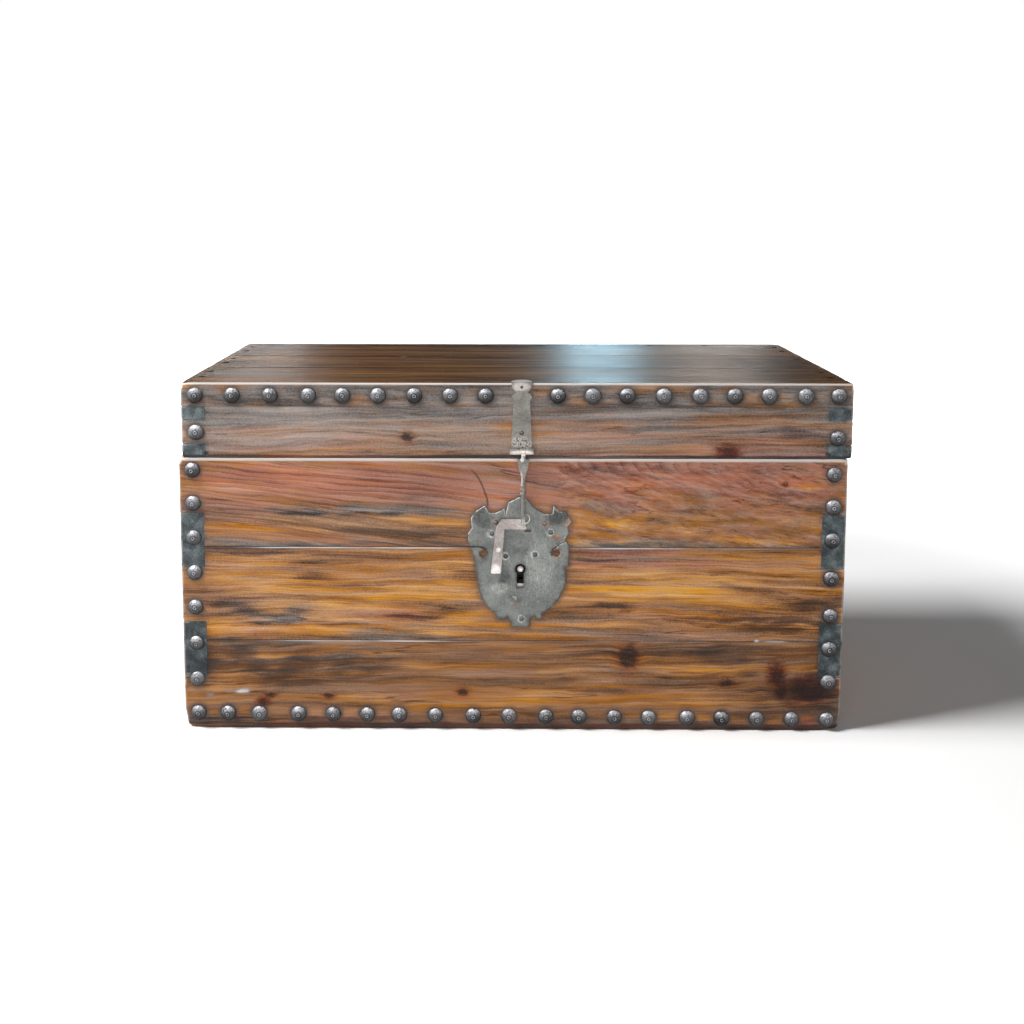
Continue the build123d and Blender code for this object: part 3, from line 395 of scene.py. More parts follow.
# Tones of the front, as strokes: from x, to x, height, half thickness and strength, in millimetres.
STROKES = {
    "gold": (
        (-403, -57, 290, 11, 0.55), (-301, -220, 284, 5, 0.7), (-199, -68, 288, 7, 0.7),
        (96, 240, 293, 6, 0.7), (59, 119, 267, 5, 0.9), (254, 418, 266, 5, 1.0),
        (-418, -248, 205, 9, 0.35), (-418, -261, 238, 11, 0.4), (-173, -46, 188, 13, 1.2),
        (-357, -153, 181, 8, 0.6), (-111, -43, 218, 14, 0.8), (-105, -43, 155, 11, 0.8),
        (-160, -84, 140, 5, 0.6), (86, 187, 203, 8, 0.8), (133, 316, 198, 10, 1.0),
        (174, 350, 208, 8, 0.5), (256, 391, 179, 7, 0.5), (-422, -343, 60, 10, 0.5),
        (66, 151, 69, 11, 0.8), (176, 320, 43, 8, 0.4), (67, 286, 19, 7, 0.5), (-264, -154, 43, 11, 0.5),
        (-422, -357, 80, 5, 0.4), (-44, 66, 39, 11, 0.5), (196, 319, 83, 5, 0.5), (-124, -3, 408, 12, 0.5),
        (98, 228, 220, 7, 0.45), (37, 142, 83, 7, 0.4),
    ),
    "dark": (
        (-341, -111, 302, 3.4, 0.9), (-179, -57, 272, 3.4, 0.5), (-309, -238, 213, 4, 0.9),
        (-255, -152, 205, 3.4, 0.8), (-419, -341, 172, 5, 0.5), (-112, -34, 167, 4, 0.9),
        (243, 435, 149, 11, 0.8), (120, 167, 172, 7, 0.6), (243, 447, 114, 7, 0.3),
        (-421, -153, 90, 18, 0.45), (175, 287, 107, 7, 0.25), (243, 355, 100, 8, 0.6),
        # the last stroke on the next line, along the foot at height 0, is partly painted contact shade
        (59, 196, 55, 5, 0.6), (305, 335, 79, 2.7, 0.7), (-319, -247, 64, 5, 0.6), (-449, 454, 0, 8, 0.9),
        (391, 459, 185, 24, 0.5), (65, 173, 239, 5, 0.5), (-420, -249, 125, 8, 0.4),
        (-302, -247, 234, 1.6, 0.8), (338, 438, 416, 22, 0.6), (300, 450, 50, 40, 0.3),
        (300, 450, 170, 20, 0.5), (60, 240, 150, 14, 0.3), (-430, -100, 150, 16, 0.4),
        (-430, -250, 95, 20, 0.5), (60, 250, 108, 14, 0.2), (-402, -265, 167, 13, 1.0),
        (340, 445, 66, 22, 0.7), (60, 330, 50, 45, 0.15), (240, 440, 225, 20, 0.25),
        (-300, -235, 220, 5, 0.55), (-180, -50, 158, 8, 0.5), (80, 255, 250, 5, -0.6),
        (245, 385, 200, 8, 0.75), (95, 175, 177, 8, 0.8), (215, 370, 160, 9, 0.5),
        (60, 180, 430, 12, -0.3), (240, 360, 395, 9, 0.6), (160, 355, 65, 7, 0.25),
        (245, 385, 337, 14, 0.25), (-390, -235, 350, 14, 0.2), (-475, -405, 113, 46, 0.8),
        (405, 475, 113, 46, 0.5), (405, 475, 265, 46, 0.3),
    ),
    "smoke": (
        (-355, -97, 310, 5, 0.7), (-158, -77, 324, 7, 0.5), (-349, -54, 261, 4, 1.0),
        (99, 261, 261, 4.5, 1.3), (-420, -60, 298, 3, 0.5), (105, 148, 281, 5, 0.6),
        (-249, -95, 136, 7, 1.0), (-249, -37, 129, 4, 0.6), (134, 232, 132, 5, 0.9),
        (-421, -301, 111, 10, 0.7), (-263, -153, 105, 11, 0.6), (365, 455, 129, 8, 0.7),
        (-305, -206, 74, 7, 0.5), (60, 93, 158, 11, 0.8), (-313, -248, 11, 8, 0.5), (176, 261, 53, 5, 0.3),
        (78, 172, 322, 7, 0.4), (307, 387, 312, 8, 0.4), (405, 500, 36, 34, 1.1),
        (-480, -400, 20, 20, 0.5),
    ),
    "rust": (
        (-443, 450, 348, 33, 0.8), (78, 346, 353, 19, 0.5), (60, 342, 231, 8, 0.6), (80, 255, 250, 5, 0.9),
        (-152, -57, 218, 8, 0.4), (-420, -328, 139, 12, 0.5), (-248, -95, 161, 8, 0.5),
        (-319, -238, 405, 5, 1.1), (-226, -202, 408, 5, 1.0), (30, 200, 408, 8, 0.5),
        (382, 437, 15, 11, 0.6), (-449, 454, 8, 9, 0.6), (-151, -127, 408, 12, 0.6),
    ),
    "grey": (
        (-441, -231, 430, 24, 0.35), (-110, -10, 431, 19, 0.3), (144, 237, 432, 20, 0.3),
        (-420, -248, 160, 16, 0.4), (-480, 490, 466, 15, 1.1), (-430, -120, 100, 24, 0.35),
        (-402, -265, 167, 13, 0.4), (-300, -120, 305, 5, 0.35), (-430, -150, 262, 8, 0.4),
        (60, 300, 262, 7, 0.4), (-350, -60, 308, 9, 0.35), (80, 240, 140, 9, 0.3),
        (-250, -60, 145, 12, 0.35), (60, 240, 238, 9, 0.3), (60, 180, 112, 18, 0.3),
    ),
    "scuff": (
        (-376, -54, 255.4, 0.9, 1.5), (68, 243, 255.4, 0.9, 1.4), (60, 342, 251, 3, 0.16),
        (-370, -54, 251, 3, 0.16), (241, 445, 255.4, 0.7, 0.9), (-352, -41, 124.6, 0.8, 1.1),
        (-187, -95, 125, 1.2, 0.8), (79, 287, 125, 0.7, 0.6), (338, 379, 126, 1.1, 1.2),
        (329, 338, 127, 2.2, 1.4), (-380, -358, 52, 4.2, 1.6), (-398, -372, 51, 4.0, 0.55),
        (-424, -408, 47, 4, 0.7), (171, 203, 409, 1.6, 0.8), (429, 451, 89, 7, 0.4),
    ),
    "ring": (
        (-440, -60, 335, 45, 0.55), (60, 260, 366, 20, 0.42), (60, 250, 340, 9, 0.2),
        (250, 440, 345, 30, 0.15),
    ),
}
TOP_STROKES = {  # on the lid's top, with Y for height
    "gold": ((-300, -110, -140, 30, 0.5), (360, 440, -200, 14, 0.7), (-200, 60, -226, 8, 0.5)),
    "dark": (
        (-360, 20, 60, 12, 1.0), (-420, 430, -75, 3, 0.6), (330, 430, -150, 10, 1.2),
        (-440, 440, 200, 40, 0.4), (300, 460, 0, 240, 0.6),
    ),
    "rust": ((-330, -90, -120, 70, 0.5), (-250, 0, 120, 60, 0.3)),
    # The grey at the top's left end and over its right half is weathering and in part a painted reflection of
    # the back windows
    "grey": ((-450, -380, 0, 240, 0.4), (100, 450, 0, 220, 0.3)),
    "scuff": ((-175, -160, 60, 3, 1.0), (-330, -318, -110, 3, 0.8), (300, 306, -60, 4, 0.8)),
}
KNOTS = (  # x, z, half width and half height
    (-141, 408, 9.0, 7.5), (-67, 53, 8.5, 5.5), (159, 104, 14.0, 19.0), (366, 344, 6.0, 3.0),
    (295, 67, 11.0, 5.0), (-252, 46, 8.0, 4.0), (-331, 47, 8.0, 4.0),
)
RED_KNOTS = (
    (289, 388, 13.0, 8.0), (362, 80, 10.0, 15.0), (369, 56, 8.0, 10.0), (407, 57, 26.0, 17.0),
    (-342, 38, 8.0, 5.0),
)
SCRATCH = (-117.2, 306.7, 84.5, 306.0, 366.0)  # the circle's x, z and radius, and its lowest and highest z


STROKE_FADE = 55.0  # the longest soft end of a stroke


def stroked(points, strokes, on_top=False):
    """The strokes' tone on the front face, or on the lid's top, with soft ends and a wandering line."""
    x, y, z = (points / MM).T
    height = y if on_top else z
    drift = wobble(np.stack([x, height * 0.25, 0 * x], 1), 60, 3)
    ragged = wobble(np.stack([x, height * 6, 0 * x], 1), 26, 9)
    total = np.zeros(len(points))
    for start, stop, middle, half, strength in strokes:
        fade = min(STROKE_FADE, (stop - start) * 0.4)
        run = smooth(x, start - fade / 2, start + fade) * smooth(-x, -stop - fade / 2, -stop + fade)
        off = (height - middle - drift * half * (0.5 if half > 3 else 0)) / half
        total += strength * run * np.exp(-off * off) * (0.9 + (0.5 if half > 2 else 0.2) * ragged)
    return total if on_top else total * smooth(-y, -front / MM - 4, -front / MM - 1)


def graded(planes, spacing):
    """Grid lines through every plane, close together beside it."""
    lines = []
    for low, high in zip(planes, planes[1:]):
        near = [offset * MM for offset in EDGE_OFFSETS if offset * MM < (high - low) / 2]
        start, stop = low + near[-1], high - near[-1]
        lines += [low + offset for offset in near] + [high - offset for offset in near]
        lines += list(np.linspace(start, stop, max(1, ceil((stop - start) / spacing)) + 1))
    return np.unique(np.round(lines, 7))


def within_box(middles, box):
    """Which cells of a grid lie in a box."""
    hit = [(m > low) & (m < high) for m, low, high in zip(middles, *box)]
    return hit[0][:, None, None] & hit[1][None, :, None] & hit[2][None, None, :]


def skin(boxes, cuts, spacing):
    """Vertices and quads of the skin of a union of boxes, less its cuts, on a graded grid."""
    corners = [corner for box in boxes for corner in box]
    lows, highs = np.min(corners, axis=0), np.max(corners, axis=0)
    planes = []
    for axis in range(3):
        values = {round(corner[axis], 7) for box in boxes + cuts for corner in box}
        planes.append(sorted(v for v in values if lows[axis] - 1e-6 <= v <= highs[axis] + 1e-6))
    lines = [graded(p, spacing) for p in planes]
    middles = [(line[1:] + line[:-1]) / 2 for line in lines]
    solid = np.zeros([len(m) for m in middles], bool)
    for box in boxes:
        solid |= within_box(middles, box)
    for box in cuts:
        solid &= ~within_box(middles, box)
    padded = np.pad(solid, 1).astype(np.int8)
    counts = [len(line) for line in lines]
    quads = []
    for axis in range(3):
        others = [(axis + 1) % 3, (axis + 2) % 3]
        change = np.diff(padded, axis=axis)
        trim = [slice(1, -1)] * 3
        trim[axis] = slice(None)
        for sign in (-1, 1):
            cells = np.argwhere(change[tuple(trim)] == sign)
            around = ((0, 0), (1, 0), (1, 1), (0, 1)) if sign < 0 else ((0, 0), (0, 1), (1, 1), (1, 0))
            ring = []
            for first, second in around:
                corner = cells.copy()
                corner[:, others[0]] += first
                corner[:, others[1]] += second
                ring.append(np.ravel_multi_index(corner.T, counts))
            quads.append(np.stack(ring, 1))
    quads = np.concatenate(quads)
    in_use, quads = np.unique(quads, return_inverse=True)
    index = np.unravel_index(in_use, counts)
    return np.stack([line[i] for line, i in zip(lines, index)], 1), quads.reshape(-1, 4)


def edge_distances(points, boxes):
    """How far each point is from the nearest edge of the boxes that hold it, in metres."""
    best = np.zeros(len(points))
    for low, high in boxes:
        low, high = np.array(low), np.array(high)
        held = ((points > low - 1e-6) & (points < high + 1e-6)).all(1)
        faces = np.sort(np.minimum(points - low, high - points), axis=1)
        best = np.maximum(best, np.where(held, faces[:, 1], 0))
    return best


def rounded(points, boxes, radius):
    """Pulls the points in at the edges of the boxes, by a radius given for each point."""
    best, moved = np.full(len(points), np.inf), points.copy()
    for low, high in boxes:
        low, high = np.array(low), np.array(high)
        held = ((points > low - 1e-6) & (points < high + 1e-6)).all(1)
        r = np.minimum(radius[:, None], (high - low) / 2)
        gap = points - np.clip(points, low + r, high - r)
        reach = np.maximum(np.linalg.norm(gap, axis=1), 1e-12)
        shift = -gap * np.maximum(0, 1 - radius / reach)[:, None]
        size = np.where(held, np.linalg.norm(shift, axis=1), np.inf)
        closer = size < best
        best[closer] = size[closer]
        moved[closer] = points[closer] + shift[closer]
    return moved


def outer_edges(points, shell):
    """1 at the outer edges of the assembled body or lid and 2 at its corners, 0 elsewhere."""
    near = np.minimum(points - np.array(shell[0]), np.array(shell[1]) - points) < EDGE_BAND * MM
    return np.maximum(near.sum(1) - 1.0, 0)


def foot_corner(points, shell):
    """1 at the body's lower corners, fading to 0 along the edges that meet there."""
    near = np.minimum(points - np.array(shell[0]), np.array(shell[1]) - points)
    near[:, 2] = points[:, 2] - shell[0].z
    near = np.sort(near, axis=1)
    fades, ends = CORNER_REACH
    return smooth(-near[:, 2], -ends * MM, -fades * MM) * (near[:, 1] < (FOOT_CORNER + 1) * MM)


def vertex_normals(points, quads):
    """Vertex normals of a quad mesh."""
    a, b, c, d = (points[quads[:, i]] for i in range(4))
    across = np.cross(c - a, d - b)
    normals = np.zeros_like(points)
    for i in range(4):
        np.add.at(normals, quads[:, i], across)
    return normals / np.maximum(np.linalg.norm(normals, axis=1, keepdims=True), 1e-12)


PLATE_SHADOW_AND_STAIN = 0.75
SHADOW_AND_STAIN_REACH = 4.5  # how far the lock plate's painted shadow and stain go into the wood
PLATE_ROOM = ((-0.11, 0.11), (0.12, 0.35))  # the stretch of the front, in x and z, that the plate's painted shadow and stain can reach
nail_places = []  # the place of each nail head and how far its stain goes


def iron_halo(points):
    """The dark stain that iron leaves in the wood round each nail, and round the lock plate a dark halo that
    is painted shadow as well as stain.
    """
    total = np.zeros(len(points))
    for place, reach in nail_places:
        distance = np.linalg.norm(points - place, axis=1) / reach
        total = np.maximum(total, np.exp(-np.maximum(distance - 0.9, 0) ** 2 * 6))
    # Painted shadow with iron stain: a dark band along the lock plate's outline on the front
    near = points[:, 1] < front + 2 * MM
    for axis, (low, high) in zip((0, 2), PLATE_ROOM):
        near &= (points[:, axis] > low) & (points[:, axis] < high)
    if near.any():
        distance = loop_distance(points[near][:, [0, 2]], flat_loops("lock_plate")[0])
        total[near] = np.maximum(total[near], PLATE_SHADOW_AND_STAIN * np.exp(-(distance / (SHADOW_AND_STAIN_REACH * MM)) ** 2))
    return total


def board_edges(points, shell):
    """Which points lie on which outer edges of the body or the lid."""
    outer = outer_edges(points, shell)
    at = SimpleNamespace(corner=outer > 1, outer=np.minimum(outer, 1))
    at.low = at.outer * (points[:, 2] < shell[0].z + EDGE_BAND * MM)
    at.crown = at.outer * (points[:, 2] > shell[1].z - EDGE_BAND * MM)
    at.rim = at.crown * (shell is BODY_SHELL) * (points[:, 1] < 0)
    at.underside, at.foot = at.low * (shell is LID_SHELL), at.low * (shell is BODY_SHELL)
    return at


def edge_radii(points, shell, at, seed):
    """How far the edge at each point is rounded off: unevenly, by use, and more where a chip is out."""
    wear = 0.75 + 0.5 * wobble(points, 0.045, seed)
    radius = JOINT_RADIUS + at.outer * (ARRIS_RADIUS - JOINT_RADIUS) + at.rim * (RIM_RADIUS - ARRIS_RADIUS)
    radius += at.underside * (UNDERSIDE_RADIUS - ARRIS_RADIUS) + at.foot * (FOOT_RADIUS - ARRIS_RADIUS)
    radius = np.where(at.corner, CORNER_RADIUS, radius)
    turned = foot_corner(points, shell) * (shell is BODY_SHELL)
    radius = (radius + turned * (FOOT_CORNER - radius)) * MM
    chips = smooth(wobble(points, 0.011, seed + 5), 0.62, 0.9) * CHIP_DEPTH * MM * (0.35 + 0.65 * at.outer)
    radius = radius * np.clip(wear, 0.35 + 0.5 * at.foot, 1.5 - 0.4 * at.foot)
    return radius + chips * (1 - at.underside) * (1 - at.foot)


def worn_surface(flat, quads, boxes, radii, edge, along, seed):
    """The board's points with its edges rounded off and its faces dipping a little along the grain."""
    points = rounded(flat, boxes, radii)
    normals = vertex_normals(points, quads)
    size = np.array([0.05] * 3)
    size[along] = 0.3
    dips = np.clip(0.5 + 0.5 * wobble(flat, size, seed + 2), 0, 1)
    points -= normals * (dips * RELIEF_DEPTH * MM * smooth(edge, 0, 0.008))[:, None]
    return points, normals


def grain_space(flat, box, axes, seed, pith):
    """Each point's place in the log: along the grain, and across and behind the growth rings' axis."""
    off_across, off_depth, lean, fall, start = pith
    along, across, depth = (flat[:, i] for i in axes)
    middle = (np.array(box[0]) + np.array(box[1])) / 2
    across = across - middle[axes[1]] - off_across * MM - lean * along
    depth = depth - middle[axes[2]] - off_depth * MM - fall * np.maximum(along - start, 0)
    return np.stack([along + seed, across, depth], 1)


def board_tones(flat, tone, at, edge, top):
    """How much of each tone the wood has at each point."""
    tones = SimpleNamespace()
    for kind, strokes in STROKES.items():
        drawn = tone.get(kind, 0.0) + stroked(flat, strokes)
        setattr(tones, kind, drawn + top * stroked(flat, TOP_STROKES.get(kind, ()), on_top=True))
    # Painted shade: a dark line along the lid's lower edge, where the gap under it lies in shadow, and a dark
    # strip along the foot that is the wood's dark foot and in part painted contact shade
    foot_dark = 0.9 * at.foot * smooth(-edge, -9 * MM, -3 * MM)
    tones.dark += 2.5 * at.underside * smooth(-edge, -4.5 * MM, -1.5 * MM) + foot_dark
    return tones


def plank(node, boxes, shell, axes, material, tone, spacing, cuts=(), pith=None):
    """A worn board in a CAD node's place. tone is added everywhere, and axes are along, across and behind.

    pith is the growth rings' axis: how far across and behind, its lean, its fall and where that starts."""
    rng = random.Random(node)
    seed = rng.uniform(1, 90)
    boxes = list(boxes)
    flat, quads = skin(boxes, list(cuts), spacing * MM)
    at, edge = board_edges(flat, shell), edge_distances(flat, boxes)
    radii = edge_radii(flat, shell, at, seed)
    points, normals = worn_surface(flat, quads, boxes, radii, edge, axes[0], seed)
    pith = pith or (
        rng.uniform(-40, 40), rng.uniform(35, 90), rng.uniform(-0.03, 0.03), rng.uniform(-0.05, 0.05), -1)

    top = smooth(flat[:, 2], LID_SHELL[1].z - 2.5 * MM, LID_SHELL[1].z - 0.5 * MM)
    tones = board_tones(flat, tone, at, edge, top)
    seam = np.exp(-(edge / (4 * MM)) ** 2) * (1 - at.outer)
    end = smooth(np.abs(normals[:, axes[0]]), 0.45, 0.75)
    # Pale worn edges, strongest along the rim and the lid's top edges, faint on the uprights and none at the
    # foot; along the upper edges the pale band is partly a painted highlight
    away = smooth(flat[:, 1], front + 4 * MM, front + 12 * MM)
    worn = np.maximum(0.3 * (1 - at.low), at.crown) * (1 - 0.6 * away)
    arris = at.outer * smooth(-edge / (1 + 0.6 * at.rim), -3.1 * MM, -1.6 * MM) * worn
    attributes = {
        "grain": grain_space(flat, boxes[0], axes, seed, pith),
        "paint": np.stack([tones.gold, tones.rust, tones.dark], 1),
        "shade": np.stack([tones.smoke, tones.grey, tones.scuff], 1),
        "age": np.stack([iron_halo(flat), end, top], 1),
        "edge": np.stack([arris, seam, tones.ring], 1),
    }
    return dress(make_object(node + "_worn", points, quads, material, attributes), node)


def jointed(node, fingers, along):
    """A wall board's boxes: its length between the corners, and each of its fingers right through them."""
    low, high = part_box(node)
    inset = Vector((0, 0, 0))
    inset[along] = board
    boxes = [(low + inset, high - inset)]
    for start, stop in fingers:
        start, stop = max(start, low.z), min(stop, high.z)
        if start < stop:
            boxes.append((Vector((low.x, low.y, start)), Vector((high.x, high.y, stop))))
    return boxes


# ---------------------------------------------------------------- iron


def near_places(s, place, spots):
    """1 at the places given, on the front, and 0 away from them."""
    total = 0.0
    for x, z, across, tall, strength in spots:
        offset = s.scaled(s.moved(place, (-x * MM, 0, -z * MM)), (1 / (across * MM), 0, 1 / (tall * MM)))
        total = s.math("MAXIMUM", total, s.times(s.step(s.length(offset), 1.25, 0.6), strength))
    return total


IRON_PIT, EATEN, SCORE = srgb(44, 40, 38), srgb(72, 66, 58), srgb(186, 190, 184)
DARK_RUST, PALE_RUST, BRIGHT_IRON = srgb(128, 94, 74), srgb(168, 140, 122), srgb(190, 188, 184)


def iron(name, stops, roughness, metallic, pits=0.4, rub_and_highlight=BRIGHT_IRON, bump=0.0005, bright=(), scored=(),
         pitted=(), specular=0.5):
    """Old forged iron: a mottled skin with pits, worn pale where the wear attribute or a bright place says
    so. On the dome nails that wear is a painted highlight, and the bright places are partly painted
    highlights.
    """
    s = Shader(name, roughness, metallic, specular)
    place = s.place()
    wear, tone, rusty = (s.attribute(key, "Fac") for key in ("wear", "tone", "rusty"))
    cloud = s.noise(place, (45, 45, 45), 4, 0.6)
    fine = s.noise(place, (420, 420, 420), 3, 0.6)
    pit = s.step(s.noise(place, (800, 800, 800), 2), 0.40, 0.30)
    # The tone attribute also carries painted shade: on the dome nails' rims and lower halves, and along the
    # lock plate's lower edges
    colour = s.ramp(s.add(0.5, s.swing(cloud, 0.9), s.swing(fine, 0.6), s.times(tone, 0.3)), stops)
    colour = s.mix(s.times(pit, pits), colour, IRON_PIT)
    if pitted:
        near = near_places(s, place, pitted)
        eaten = s.times(near, s.step(s.noise(place, (400, 400, 400), 3, 0.6), 0.50, 0.44))
        colour = s.mix(eaten, s.mix(s.times(near, 0.3), colour, rub_and_highlight), EATEN)
    if scored:
        marks = s.step(s.noise(place, (520, 520, 90), 3, 0.6), 0.54, 0.68)
        colour = s.mix(s.times(marks, near_places(s, place, scored)), colour, SCORE)
    rust = s.step(s.add(rusty, s.swing(fine, 1.2)), 0.35, 0.75)
    colour = s.mix(rust, colour, s.mix(s.step(cloud, 0.4, 0.6), DARK_RUST, PALE_RUST))
    # The wear attribute: worn edges on the lock plate, a painted highlight on the dome nails' upper halves
    colour = s.mix(s.times(wear, s.step(fine, 0.3, 0.6)), colour, rub_and_highlight)
    # Bright places: worn metal in part, and painted highlights where light catches the hasp's rod, barrel and
    # loop and the key's pin
    if bright:
        shine = s.add(0.7, s.times(s.step(fine, 0.35, 0.55), 0.3))
        colour = s.mix(s.times(near_places(s, place, bright), shine), colour, rub_and_highlight)
    s.bump(s.add(s.times(fine, 0.6), s.times(cloud, 0.8), s.times(pit, -0.6)), bump)
    rough = s.add(roughness - 0.12, s.times(fine, 0.25), s.times(wear, -0.08), s.times(rust, 0.2))
    return s.finish(colour, rough)


DOME_IRON = ((0.0, (24, 23, 23)), (0.3, (55, 53, 53)), (0.55, (90, 90, 92)), (0.85, (120, 121, 124)))
WOOD_IRON = ((0.2, (52, 40, 32)), (0.5, (84, 64, 50)), (0.8, (110, 86, 68)))  # in the wood's colour
TOP_IRON = ((0.2, (34, 27, 20)), (0.5, (54, 43, 32)), (0.8, (74, 60, 46)))  # in the dark of the lid's top
PLATE_IRON = ((0.1, (60, 62, 62)), (0.3, (92, 95, 93)), (0.5, (117, 120, 117)), (0.8, (140, 142, 138)))
STRAP_IRON = ((0.15, (66, 64, 60)), (0.35, (98, 96, 91)), (0.5, (118, 115, 109)), (0.8, (150, 146, 140)))
BAR_STEEL = ((0.2, (120, 112, 108)), (0.5, (160, 151, 147)), (0.8, (200, 194, 190)))


def heads(node, direction, head_height, head_radius):
    """The middle of each nail head's underside in a CAD node, for the heads that face one way."""
    way = np.array(direction, float)
    vertices = np.array([v.co for v in frame["nodes"][node].data.vertices])
    reach = vertices @ way
    top = reach[np.abs(reach - reach.max()) < 0.2 * MM].max()
    crowns = vertices[reach > top - head_height * MM * 1.02]
    places = []
    while len(crowns):
        near = np.linalg.norm(crowns - crowns[0], axis=1) < 2.2 * head_radius * MM
        group, crowns = crowns[near], crowns[~near]
        middle = (group.min(0) + group.max(0)) / 2
        places.append(middle + way * (top - head_height * MM - middle @ way))
    return places


DOME_SHARES = (0.29, 0.32, 0.36, 0.43, 0.51, 0.6, 0.69, 0.78, 0.86, 0.93, 0.975, 1.0)


def dome_profile(radius, height, rim, shank, length):
    """A dome nail's half section, radius and height in millimetres, from its button to its point."""
    ball = (radius * radius + (height - rim) ** 2) / (2 * (height - rim))
    button = ((0.0, -0.3), (0.8, -0.25), (1.4, 0.18), (2.1, 0.28), (2.7, 0.0))
    points = [(r, height + rise) for r, rise in button]
    for share in DOME_SHARES:
        r = radius * share
        groove = 0.5 * np.exp(-((r - 3.3) / 0.5) ** 2)
        points.append((r, rim + sqrt(max(ball * ball - r * r, 0)) - ball + (height - rim) - groove))
    points += [(radius, rim * 0.4), (radius * 0.97, -0.25), (shank, -0.25)]
    return points + [(shank, -length + 3 * shank), (shank * 0.45, -length + shank), (0.0, -length)]


def lathe(profile, segments):
    """Vertices and faces of a half section turned about Z; the section starts and ends on the axis."""
    vertices = [(0, 0, profile[0][1])]
    turns = [2 * pi * i / segments for i in range(segments)]
    for r, h in profile[1:-1]:
        vertices += [(r * cos(turn), r * sin(turn), h) for turn in turns]
    vertices.append((0, 0, profile[-1][1]))
    rows, last = len(profile) - 2, len(vertices) - 1
    faces = [(0, 1 + i, 1 + (i + 1) % segments) for i in range(segments)]
    for j in range(rows - 1):
        a, b = 1 + j * segments, 1 + (j + 1) * segments
        faces += [(a + i, b + i, b + (i + 1) % segments, a + (i + 1) % segments) for i in range(segments)]
    a = 1 + (rows - 1) * segments
    faces += [(a + i, last, a + (i + 1) % segments) for i in range(segments)]
    return np.array(vertices, float), faces


def button_of(points, radius):
    """1 where shade is painted in the groove and the dimple of a dome's button, -1 where a highlight is
    painted on its ring; a small head has none.
    """
    ring = np.linalg.norm(points[:, :2], axis=1)
    dark = np.exp(-((ring - 3.4) / 0.5) ** 2) + np.exp(-(ring / 0.8) ** 2)
    return (dark - np.exp(-((ring - 2.1) / 0.5) ** 2)) * (points[:, 2] > 4) * (radius > 8)


def hammered(base, rng, radius, height, blows, blow):
    """A nail's points with a size of its own and flats where the hammer struck its head."""
    points = base.copy()
    head = points[:, 2] > 0
    points[head] *= (1, 1, rng.uniform(0.9, 1.0))
    points[head, :2] *= rng.uniform(0.95, 1.0)
    centre = np.array((0, 0, height * 0.5 - radius * 0.62))
    for _ in range(blows):
        angle, rise = rng.uniform(0, 2 * pi), rng.uniform(0.15, 1.1)
        facet = np.array((cos(angle) * cos(rise), sin(angle) * cos(rise), sin(rise)))
        reach = (points - centre) @ facet
        excess = np.clip(reach - (reach[head].max() - blow * rng.uniform(0.5, 1.0)), 0, None) * head
        points -= facet * excess[:, None]
    return points, head


def forged_nails(node, faced, profile, material, segments=32, blows=14, blow=0.18, lean=0.05):
    """Every nail of a CAD node as one mesh. Each head gets its own size, lean and hammer marks."""
    rng = random.Random(node)
    base, faces = lathe(profile, segments)
    radius, height = max(p[0] for p in profile), profile[0][1]
    # Painted shade in each dome's button groove and dimple and round the foot of its head, and a painted
    # highlight on the button's ring
    button_shade_and_highlight = button_of(base, radius)
    rim_and_groove_shade = smooth(-base[:, 2], -2.6, -0.4) + np.maximum(button_shade_and_highlight, 0)
    all_points, all_faces, wear, tone = [], [], [], []
    for direction, places in faced:
        turn = Vector(direction).to_track_quat("Z", "Y").to_matrix()
        for place in places:
            points, head = hammered(base, rng, radius, height, blows, blow)
            tilt = Matrix.Rotation(rng.uniform(-lean, lean), 3, "X")
            tilt = tilt @ Matrix.Rotation(rng.uniform(-lean, lean), 3, "Y")
            spin = Matrix.Rotation(rng.uniform(0, 2 * pi), 3, "Z")
            leaning = points @ np.array(tilt @ spin).T
            points = np.where(head[:, None], leaning, points @ np.array(spin).T) * MM
            points = points @ np.array(turn).T + np.array(place)
            upward = (points[:, 2] - place[2]) / (radius * MM)
            # Painted light: the upper half of each head is made paler and its lower half darker, as if lit
            # from above; the tone's random part is the iron's own
            worn_and_highlit = np.maximum(smooth(upward, 0.05, 0.95) * rng.uniform(0.7, 1.0), -0.55 * button_shade_and_highlight)
            wear.append(worn_and_highlit * (1 - np.clip(rim_and_groove_shade, 0, 1)))
            tone.append(rng.uniform(-0.3, 0.5) - 1.2 * rim_and_groove_shade - 0.9 * smooth(-upward, -0.1, 0.8))
            offset = len(base) * len(all_points)
            all_points.append(points)
            all_faces += [tuple(i + offset for i in face) for face in faces]
    # On these nails wear holds the painted highlight, and tone holds the painted shade as well as the random
    # tone
    attributes = {"wear": np.concatenate(wear), "tone": np.concatenate(tone)}
    made = make_object(node + "_forged", np.concatenate(all_points), all_faces, material, attributes)
    return dress(made, node)


def flat_loops(node):
    """The loops round a flat CAD plate's front face and its holes, in x and z, and the face's y."""
    mesh = frame["nodes"][node].data
    face = min(v.co.y for v in mesh.vertices)
    runs = {}
    for polygon in mesh.polygons:
        corners = [mesh.vertices[i].co for i in polygon.vertices]
        if max(abs(c.y - face) for c in corners) < 0.01 * MM:
            keys = [(round(c.x, 6), round(c.z, 6)) for c in corners]
            for a, b in zip(keys, keys[1:] + keys[:1]):
                runs.setdefault(frozenset((a, b)), []).append((a, b))
    onward = dict(sides[0] for sides in runs.values() if len(sides) == 1)
    loops = []
    while onward:
        point = next(iter(onward))
        loop = []
        while point in onward:
            loop.append(point)
            point = onward.pop(point)
        loops.append(np.array(loop))
    return loops, face


